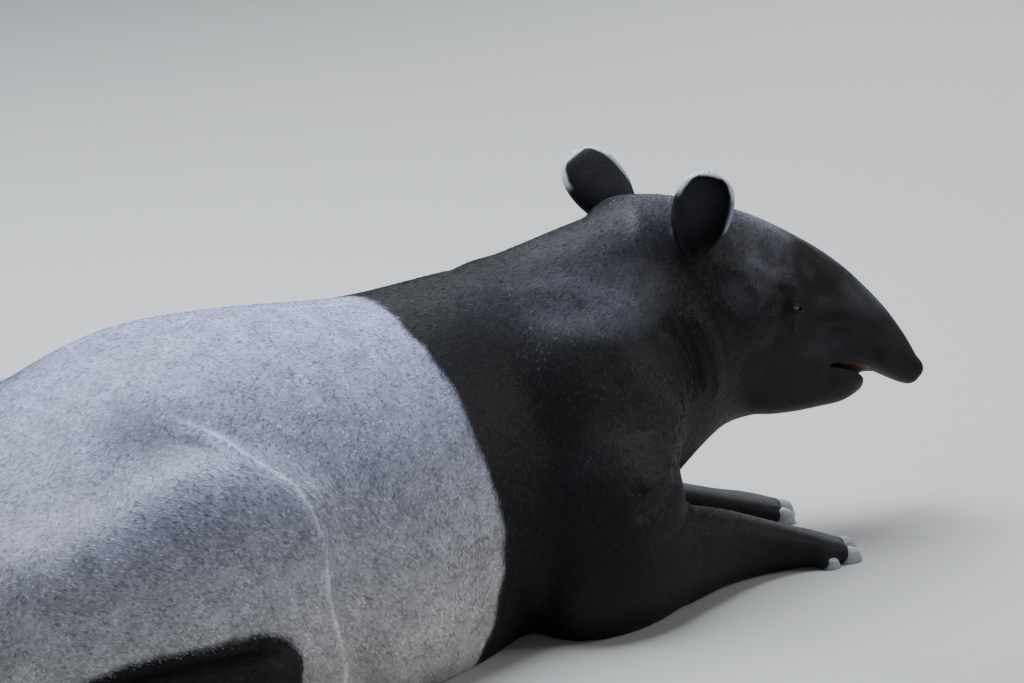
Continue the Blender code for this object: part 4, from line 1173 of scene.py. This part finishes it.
def saddle_colour(places, mirrored):
    # painted light on the white saddle: brighter low down, darker and bluer higher up
    pale = np.stack([np.interp(places[:, 2], PALE_PAINTED_LIT_LEVELS, tint) for tint in zip(*PALE_PAINTED_LIT)], axis=1)
    depth, size, heights = FLANK_DARK
    # painted shade in the hollow before the hip, partly darker hair, and the low flank's spots
    spots_and_painted_shade = HIP_HAIR_AND_SHADE_DEPTH * patch(mirrored, *HIP_HAIR_AND_PAINTED_SHADE)
    spots_and_painted_shade += depth * mottle(places, size, 3) * ramp(-places[:, 2], *heights)
    gap = crest_gap(mirrored)
    # painted highlight: the thigh's crest made paler, as if it caught light from above
    crest_highlight = sum(gain * np.exp(-((gap / reach) ** 2)) for gain, reach in CREST_PAINTED_HIGHLIGHT)
    return pale * (1 - spots_and_painted_shade)[:, None] * (1 + crest_highlight)[:, None]


def black_colour(places, mirrored):
    # dust and painted sheen on the black, mostly on the right side
    dust_and_sheen = LEFT_DUST_AND_SHEEN + (1 - LEFT_DUST_AND_SHEEN) * ramp(-places[:, 1], -DUST_AND_SHEEN_FADE, DUST_AND_SHEEN_FADE)
    dust_and_sheen *= spotted(places, *DUST_AND_SHEEN_SPOTS, 5)
    coal = np.full((len(places), 3), BLACK)
    for centre, reach, colour in DUST_AND_PAINTED_SHEEN:
        amount = np.minimum(patch(mirrored, np.array(centre), np.array(reach)) * dust_and_sheen, 1)
        coal += (np.array(colour) - coal) * amount[:, None]
    return coal


def hide_colour(places):
    """The colour of hide and hair at each place, with painted light and shade on the saddle and the black."""
    black = blackness(places)
    mirrored = places.copy()
    mirrored[:, 1] = RIGHT * np.abs(places[:, 1])
    pale, coal = saddle_colour(places, mirrored), black_colour(places, mirrored)
    colour = (pale + (coal - pale) * black[:, None]) * spotted(places, *SPOTS, 4)[:, None]
    for side in (RIGHT, LEFT):
        rim = (ear_rim(places, side) * (1 - black))[:, None]
        colour += (EAR_WHITE - colour) * rim
    return colour


def hair_paths():
    """The lines along which the hair lies, in the animal's frame, and their reach."""
    head = head_matrix()
    near, far, reach = FACE_PATH
    paths = [*BODY_PATHS, (tuple(head @ Vector(near)), tuple(head @ Vector(far)), reach)]
    for side in (RIGHT, LEFT):
        for rows, reach in zip((THIGH[2:], SHANK, HIND_FOOT, FORE_LEG[side][2:]), LIMB_REACHES):
            points = [(x, side * y, z) for x, y, z, *_ in rows]
            paths += [(near, far, reach) for near, far in zip(points, points[1:])]
        near, far, reach = ARM_PATH
        mirror = np.array((1, side, 1))
        paths.append((near * mirror, far * mirror, reach))
    return paths


def hair_flow(places, normals):
    """The way the hair lies at each place, along the skin."""
    total = np.zeros_like(places)
    for near, far, reach in hair_paths():
        near, step = np.array(near), np.array(far) - np.array(near)
        t = np.clip((places - near) @ step / (step @ step), 0, 1)
        gap = np.linalg.norm(places - near - t[:, None] * step, axis=1)
        weight = (reach / np.maximum(gap, NEAREST_PATH * reach)) ** PATH_FALL
        total += step / np.linalg.norm(step) * weight[:, None]
    flow = total / np.linalg.norm(total, axis=1)[:, None] + (0, 0, HAIR_DROOP)
    for side in (RIGHT, LEFT):
        along = np.array(head_matrix().to_3x3() @ ear_axes(side)[2])
        flow += (along * 2 - flow) * on_ear(places, side)[:, None]
    flow -= normals * np.sum(flow * normals, axis=1)[:, None]
    return flow / np.maximum(np.linalg.norm(flow, axis=1), 1e-6)[:, None]


def hair_length(places):
    """The length of hair at each place: short on face, feet and ears, none in eyes, mouth and nostrils."""
    x, y, z = places.T
    length = np.full(len(places), HAIR_BODY)
    outer = np.maximum(ramp(np.abs(y), *FOOT_HAIR_OUT), x > FOREFOOT_START)
    foot = ramp(-z, *FOOT_HAIR_HEIGHT) * outer
    length -= (HAIR_BODY - HAIR_FOOT) * foot
    length -= (length - HAIR_FOOT) * ramp(x, *FORE_HAIR_START) * (z < FORE_HAIR_TOP)
    face = to_head(places)
    on_head = ramp(face[:, 0], *HEAD_HAIR_START) * (z > HEAD_HAIR_BOTTOM)
    length += (np.interp(face[:, 0], *np.array(HAIR_FACE).T) - length) * on_head
    for side in (RIGHT, LEFT):
        local = to_eye(face, side)
        length *= 1 - EYE_HAIR_LESS * ramp(-np.linalg.norm(local, axis=1), *EYE_HAIR_REACH)
        length[in_slit(local, BARE_RIM)] = 0
        length += (HAIR_EAR + HAIR_FRINGE * ear_rim(places, side) - length) * on_ear(places, side)
    inside, _ = mouth_inside(face)
    length[(inside > BARE_MOUTH) | (z < BARE_SOLE) | (in_nostril(face) > BARE_NOSTRIL)] = 0
    return length


def in_slit(local, margin):
    """Whether places in an eye's frame are in the opening of the lids or on its rim."""
    x, y, z = local.T
    return (x / (SLIT[0] + margin)) ** 2 + (z / (SLIT[1] + margin)) ** 2 < (y > 0)


# Coat


def surface(obj):
    """The vertices of each of the skin's triangles, and its corners' places on the map."""
    mesh = obj.data
    mesh.calc_loop_triangles()
    corners = np.empty(len(mesh.loop_triangles) * 3, np.int32)
    mesh.loop_triangles.foreach_get("vertices", corners)
    loops = np.empty(len(mesh.loop_triangles) * 3, np.int32)
    mesh.loop_triangles.foreach_get("loops", loops)
    uv = np.empty(len(mesh.loops) * 2, np.float32)
    mesh.uv_layers[UV_NAME].data.foreach_get("uv", uv)
    return corners.reshape(-1, 3), uv.reshape(-1, 2)[loops].reshape(-1, 3, 2)


def unwrap(skin):
    """Gives the skin the map OFBake, made on a thinned copy of its own shape."""
    thin = bpy.data.objects.new("thin", skin.data.copy())
    bpy.context.scene.collection.objects.link(thin)
    decimate = thin.modifiers.new("thin", "DECIMATE")
    decimate.ratio = UNWRAP_FACES / len(skin.data.polygons)
    apply_modifiers(thin)
    bpy.context.view_layer.objects.active = thin
    thin.select_set(True)
    thin.data.uv_layers.new(name=UV_NAME)
    bpy.ops.object.mode_set(mode="EDIT")
    bpy.ops.mesh.select_all(action="SELECT")
    bpy.ops.uv.smart_project(angle_limit=math.radians(66), island_margin=0.004)
    bpy.ops.object.mode_set(mode="OBJECT")
    skin.data.uv_layers.new(name=UV_NAME)
    transfer = skin.modifiers.new("map", "DATA_TRANSFER")
    transfer.object = thin
    transfer.use_loop_data = True
    transfer.data_types_loops = {"UV"}
    transfer.loop_mapping = "POLYINTERP_NEAREST"
    apply_modifiers(skin)
    bpy.data.objects.remove(thin)


def unit(vectors):
    return vectors / np.maximum(np.linalg.norm(vectors, axis=1), 1e-9)[:, None]


def grow_coat(skin, rng):
    """Roots of the tufts: places, normals, flow, length and place on the map, for every tuft of the coat."""
    corners, maps = surface(skin)
    places, normals = read_places(skin), read_normals(skin)
    length = hair_length(places)
    flow = hair_flow(places, normals)
    a, b, c = places[corners].transpose(1, 0, 2)
    area = np.linalg.norm(np.cross(b - a, c - a), axis=1) / 2
    face_length = length[corners].min(axis=1)
    share = area * np.where(face_length > 0, 1 / np.maximum(face_length, HAIR_CROWDED), 0)
    total = np.cumsum(share)
    faces = np.searchsorted(total, rng.random(TUFTS) * total[-1])
    weights = np.sqrt(rng.random(TUFTS))
    split = rng.random(TUFTS)
    parts = np.stack([1 - weights, weights * (1 - split), weights * split], axis=1)

    def spread(values):
        return np.einsum("ij,ijk->ik", parts, values[corners[faces]])

    roots = spread(places)
    return roots, unit(spread(normals)), unit(spread(flow)), spread(length[:, None])[:, 0], maps[faces, 0]


def varied(span, rng, count):
    """Chance values from span[0] to span[0] + span[1]."""
    return span[0] + span[1] * rng.random(count)


def tufts(roots, normals, flow, length, rng):
    """Each tuft is a thin leaf of two triangles: root, both sides and tip, bent down towards its tip."""
    count = len(roots)
    side = np.cross(flow, normals)
    size, askew, own = WHORL
    turn = (mottle(roots, size, 11) - 0.5) * askew + rng.normal(0, own, count)
    ahead = unit(flow + side * turn[:, None])
    lift = HAIR_LIFT * varied(LIFT_RANGE, rng, count)
    roll = rng.normal(0, HAIR_ROLL, count)
    across = unit(np.cross(ahead, normals)) * np.cos(roll)[:, None] + normals * np.sin(roll)[:, None]
    length = length * varied(LENGTH_RANGE, rng, count)
    width = (length * HAIR_WIDTH * varied(WIDTH_RANGE, rng, count))[:, None]
    rise = (length * lift)[:, None] * normals
    sunk = roots - normals * HAIR_SUNK
    middle = sunk + ahead * (length * HAIR_BEND)[:, None] + rise * HAIR_BEND_RISE
    tip = sunk + ahead * length[:, None] + rise
    tip[:, 2] = np.maximum(tip[:, 2], GROUND_GAP)
    middle[:, 2] = np.maximum(middle[:, 2], GROUND_GAP)
    blades = np.stack([sunk, middle + across * width, tip, middle - across * width], axis=1)
    facing = unit(np.cross(blades[:, 1] - blades[:, 3], blades[:, 2] - blades[:, 0]))
    facing *= np.sign(np.sum(facing * normals, axis=1))[:, None]
    tilt = np.stack([mottle(roots, CLUMP_SIZE, seed) - 0.5 for seed in (21, 22, 23)], axis=1)
    return blades, unit(normals + facing * BLADE_SHINE + tilt * CLUMP_TILT)


def coat_piece(name, blades, facings, colours, maps):
    """One mesh of many tufts, four corners each, shaded as the fur of the skin under it."""
    count = len(blades)
    mesh = bpy.data.meshes.new(name)
    mesh.vertices.add(count * 4)
    mesh.vertices.foreach_set("co", blades.astype(np.float32).ravel())
    first = np.arange(count)[:, None] * 4
    corners = (first + np.array((0, 1, 3, 1, 2, 3))).astype(np.int32).ravel()
    mesh.loops.add(len(corners))
    mesh.loops.foreach_set("vertex_index", corners)
    mesh.polygons.add(count * 2)
    mesh.polygons.foreach_set("loop_start", np.arange(0, count * 6, 3, dtype=np.int32))
    mesh.update(calc_edges=True)
    square = np.array(((0, 0), (1, 0), (0, 1), (1, 0), (1, 1), (0, 1))) - 0.5
    uv = maps[:, None, :] + square * UV_PATCH
    mesh.uv_layers.new(name=UV_NAME).data.foreach_set("uv", uv.astype(np.float32).ravel())
    set_colour(mesh, "hide", np.repeat(colours, 4, axis=0))
    mesh.shade_smooth()
    mesh.normals_split_custom_set_from_vertices(np.repeat(facings, 4, axis=0).tolist())
    obj = bpy.data.objects.new(name, mesh)
    bpy.context.scene.collection.objects.link(obj)
    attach(obj, "root")
    return obj


def build_coat(skin):
    rng = np.random.default_rng(COAT_SEED)
    roots, normals, flow, length, maps = grow_coat(skin, rng)
    blades, facings = tufts(roots, normals, flow, length, rng)
    ears = np.maximum(on_ear(roots, RIGHT), on_ear(roots, LEFT))
    blur = BORDER_BLUR * (1 - (1 - EAR_BLUR) * ears)
    scatter = roots + rng.normal(0, 1, roots.shape) * blur[:, None]
    shade = varied(SHADE_RANGE, rng, TUFTS)
    # painted shade in the gaps between clumps of hair, and painted light on the clumps
    shade *= CLUMP_GAP_PAINTED_SHADE + (CLUMP_PAINTED_LIGHT - CLUMP_GAP_PAINTED_SHADE) * ramp(mottle(roots, CLUMP_SIZE, 12), *CLUMP_EDGE)
    colours = hide_colour(scatter) * shade[:, None]
    pale = blackness(scatter) < 0.5
    for kind, chosen in (("pale", pale), ("black", ~pale)):
        order = np.flatnonzero(chosen)
        order = order[np.argsort(roots[order, 0], kind="stable")]
        pieces = math.ceil(len(order) / TUFTS_PER_PIECE)
        for number, part in enumerate(np.array_split(order, pieces), 1):
            name = f"coat_{kind}_{number:02d}"
            piece = coat_piece(name, blades[part], facings[part], colours[part], maps[part])
            piece.data.materials.append(hair_material(kind))


# Eyes and hooves


def eyeball(side):
    """An eyeball with a bulging cornea, its axis out of the head."""
    bm = bmesh.new()
    bmesh.ops.create_uvsphere(bm, u_segments=64, v_segments=48, radius=1)
    bm.transform(Matrix.Rotation(math.radians(-90), 4, "X"))
    obj = new_object(f"eyeball_{SIDE_NAMES[side]}", bm)
    places = read_places(obj)
    angle = np.degrees(np.arccos(np.clip(places[:, 1], -1, 1)))
    radius = EYE_RADIUS + CORNEA_RISE * ramp(-angle, *CORNEA_ANGLES)
    write_places(obj, places * radius[:, None])
    set_value(obj.data, "angle", angle)
    obj.data.shade_smooth()
    return place(place(obj, eye_frame(side)), head_matrix())


def hoof(foot, side, number, toe):
    """One hoof with a rounded wall that leans back, fine growth rings and ridges down its front."""
    length, width, height = HOOF_SIZE * toe[2]
    close, slant = HOOF_GROWTH
    rings = []
    for level, spread in smooth_rows(HOOF_LEVELS, 5):
        level_up = max(level, 0)
        setback = HOOF_LEAN * length * (1 - spread)
        ring = []
        for k in range(HOOF_SIDES):
            angle = 2 * math.pi * k / HOOF_SIDES
            relief = math.sin(HOOF_RIDGES * angle) * math.sin(math.pi * min(level_up, 1))
            relief += math.sin(close * level + slant * math.sin(angle))
            size = spread * (1 + HOOF_RELIEF * relief) / 2
            x = length * size * rounded(math.cos(angle), HOOF_FULLNESS) - setback
            y = width * size * rounded(math.sin(angle), HOOF_FULLNESS)
            ring.append((x, y, level_up * height + GROUND_GAP))
        rings.append(ring)
    obj = skin_rings(rings, f"horn_{foot[:4]}_{SIDE_NAMES[side]}_{number}")
    place(obj, toe_matrix(foot, side, toe))
    obj.data.shade_smooth()
    obj.data.set_sharp_from_angle(angle=math.radians(60))
    return obj


# Materials


def set_value(mesh, name, values):
    mesh.attributes.new(name, "FLOAT", "POINT").data.foreach_set("value", values.astype(np.float32))


def set_colour(mesh, name, colours):
    full = np.concatenate([colours, np.ones((len(colours), 1))], axis=1).astype(np.float32)
    mesh.attributes.new(name, "FLOAT_COLOR", "POINT").data.foreach_set("color", full.ravel())


class Nodes:
    """Adds nodes to one material."""

    def __init__(self, name):
        self.material = bpy.data.materials.get(name) or bpy.data.materials.new(name)
        self.material.use_nodes = True
        self.tree = self.material.node_tree
        self.shader = self.tree.nodes["Principled BSDF"]

    def add(self, kind, **settings):
        node = self.tree.nodes.new(f"ShaderNode{kind}")
        for name, value in settings.items():
            setattr(node, name, value)
        return node

    def link(self, out, into):
        self.tree.links.new(out, into)

    def attribute(self, name):
        return self.add("Attribute", attribute_name=name)

    def noise(self, scale, detail=4.0, stretch=(1, 1, 1)):
        """Noise from 0 to 1 in the object's own space, drawn out along its axes by stretch."""
        space = self.add("TexCoord")
        mapping = self.add("Mapping")
        mapping.inputs["Scale"].default_value = stretch
        texture = self.add("TexNoise")
        texture.inputs["Scale"].default_value = scale
        texture.inputs["Detail"].default_value = detail
        self.link(space.outputs["Object"], mapping.inputs["Vector"])
        self.link(mapping.outputs["Vector"], texture.inputs["Vector"])
        return texture.outputs["Fac"]

    def span(self, value, low, high):
        """Carries a value from 0 and 1 to low and high."""
        node = self.add("MapRange")
        node.inputs["To Min"].default_value = low
        node.inputs["To Max"].default_value = high
        self.link(value, node.inputs["Value"])
        return node.outputs["Result"]

    def shaded(self, colour, factor):
        """The colour times a factor."""
        node = self.add("VectorMath", operation="SCALE")
        self.link(colour, node.inputs[0])
        self.link(factor, node.inputs["Scale"])
        return node.outputs["Vector"]

    def bump(self, height, distance, strength=1.0, under=None):
        node = self.add("Bump")
        node.inputs["Distance"].default_value = distance
        node.inputs["Strength"].default_value = strength
        self.link(height, node.inputs["Height"])
        if under:
            self.link(under, node.inputs["Normal"])
        return node.outputs["Normal"]

    def finish(self, **values):
        for name, value in values.items():
            self.shader.inputs[name.replace("_", " ")].default_value = value
        return self.material


def fur_colour(made, shade):
    """The hide's colour, with its painted light and shade, times a shade, on the shader of made."""
    colour = made.attribute("hide").outputs["Color"]
    made.link(made.shaded(colour, shade), made.shader.inputs["Base Color"])


def skin_material():
    made = Nodes("hide")
    streaks = made.noise(scale=420, detail=5, stretch=(0.35, 1, 1))
    fur_colour(made, made.span(streaks, 0.55, 1.25))
    pores = made.bump(made.noise(scale=900, detail=3), distance=0.0003, strength=0.5)
    made.link(made.bump(streaks, 0.0008, 0.7, under=pores), made.shader.inputs["Normal"])
    return made.finish(Roughness=0.55, Specular_IOR_Level=0.18)


@cache
def hair_material(kind):
    made = Nodes(f"hair_{kind}")
    fur_colour(made, made.span(made.noise(scale=1500, detail=2), 0.85, 1.15))
    return made.finish(**HAIR_FINISH[kind])


@cache
def eye_material():
    """Rings of pupil, iris and white by the angle from the eye's axis, as a part of 90 degrees."""
    made = Nodes("eye")
    rings = made.add("ValToRGB")
    steps = rings.color_ramp.elements
    for end in (0, -1):
        steps[end].position = EYE_RINGS[end][0]
        steps[end].color = (*EYE_RINGS[end][1], 1)
    for position, colour in EYE_RINGS[1:-1]:
        steps.new(position).color = (*colour, 1)
    made.link(made.span(made.attribute("angle").outputs["Fac"], 0.0, 1 / 90), rings.inputs["Fac"])
    streaks = made.span(made.noise(scale=700, detail=3), 0.6, 1.4)
    made.link(made.shaded(rings.outputs["Color"], streaks), made.shader.inputs["Base Color"])
    return made.finish(Roughness=0.08, Coat_Weight=1.0, Coat_Roughness=0.02)


@cache
def horn_material():
    made = Nodes("horn")
    colour = made.add("MixRGB")
    colour.inputs["Color1"].default_value = (*HORN_DARK, 1)
    colour.inputs["Color2"].default_value = (*HORN_PALE, 1)
    made.link(made.noise(scale=220, detail=5, stretch=(0.3, 1, 1)), colour.inputs["Fac"])
    made.link(colour.outputs["Color"], made.shader.inputs["Base Color"])
    grain = made.noise(scale=600, detail=4, stretch=(1, 1, 0.2))
    made.link(made.bump(grain, distance=0.0004, strength=0.6), made.shader.inputs["Normal"])
    return made.finish(Roughness=0.42)


def floor_material():
    made = Nodes("floor")
    plain = made.add("RGB")
    plain.outputs[0].default_value = FLOOR_COLOUR
    shade = made.span(made.noise(scale=30, detail=3), 0.97, 1.03)
    made.link(made.shaded(plain.outputs[0], shade), made.shader.inputs["Base Color"])
    return made.finish(Roughness=0.9)


# Floor, light and camera


def add_light(name, place_at, size, energy, colour):
    """A square soft light that shines at the animal."""
    data = bpy.data.lights.new(name, "AREA")
    data.size = size
    data.energy = energy
    data.color = colour
    light = bpy.data.objects.new(name, data)
    light.location = place_at
    light.rotation_mode = "QUATERNION"
    light.rotation_quaternion = (Vector(place_at) - AIM).to_track_quat("Z", "Y")
    bpy.context.scene.collection.objects.link(light)


def add_stage():
    bm = bmesh.new()
    bmesh.ops.create_grid(bm, x_segments=1, y_segments=1, size=20)
    floor = new_object("floor", bm)
    floor.data.materials.append(floor_material())
    for light in LIGHTS:
        add_light(*light)
    world = bpy.data.worlds.new("world")
    world.use_nodes = True
    world.node_tree.nodes["Background"].inputs["Color"].default_value = SKY_COLOUR
    world.node_tree.nodes["Background"].inputs["Strength"].default_value = SKY_STRENGTH
    bpy.context.scene.world = world


def add_camera():
    back = Vector((math.sin(AZIMUTH), -math.cos(AZIMUTH), math.tan(ELEVATION))).normalized()
    camera = bpy.data.objects.new("camera", bpy.data.cameras.new("camera"))
    camera.data.sensor_width = SENSOR_WIDTH
    camera.data.lens = CAMERA_LENS
    camera.location = AIM + back * CAMERA_DISTANCE
    camera.rotation_mode = "QUATERNION"
    camera.rotation_quaternion = back.to_track_quat("Z", "Y")
    bpy.context.scene.collection.objects.link(camera)
    bpy.context.scene.camera = camera


def skin_colour(places):
    """The hide's colour, and pink and painted shade inside the mouth."""
    colours = hide_colour(places) * SKIN_SHADE
    inside, height = mouth_inside(to_head(places))
    palate = (inside * ramp(height, *PALATE))[:, None]
    colours += (np.array(MOUTH_PINK) - colours) * palate
    # painted shade deeper in the mouth, away from the upper lip
    colours += (np.array(MOUTH_PAINTED_SHADE) - colours) * (inside[:, None] - palate)
    return colours


def add_skin(frame):
    skin = build_skin()
    unwrap(skin)
    set_colour(skin.data, "hide", skin_colour(read_places(skin)))
    skin.data.materials.clear()
    skin.data.materials.append(skin_material())
    skin.data.polygons.foreach_set("material_index", np.zeros(len(skin.data.polygons), np.int32))
    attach(skin, "root")
    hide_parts(*[name for name in frame["nodes"] if not name.startswith(("eye", "hoof"))])
    return skin


def add_eyes():
    for side in (RIGHT, LEFT):
        ball = eyeball(side)
        ball.data.materials.append(eye_material())
        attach(ball, "root")
        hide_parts(f"eye_{SIDE_NAMES[side]}")


def add_hooves():
    for foot, side, number, toe in all_toes():
        horn = hoof(foot, side, number, toe)
        horn.data.materials.append(horn_material())
        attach(horn, "root")
        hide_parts(f"hoof_{foot[:4]}_{SIDE_NAMES[side]}_{number}")


def main():
    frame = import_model()
    build_coat(add_skin(frame))
    add_eyes()
    add_hooves()
    add_stage()
    add_camera()


main()
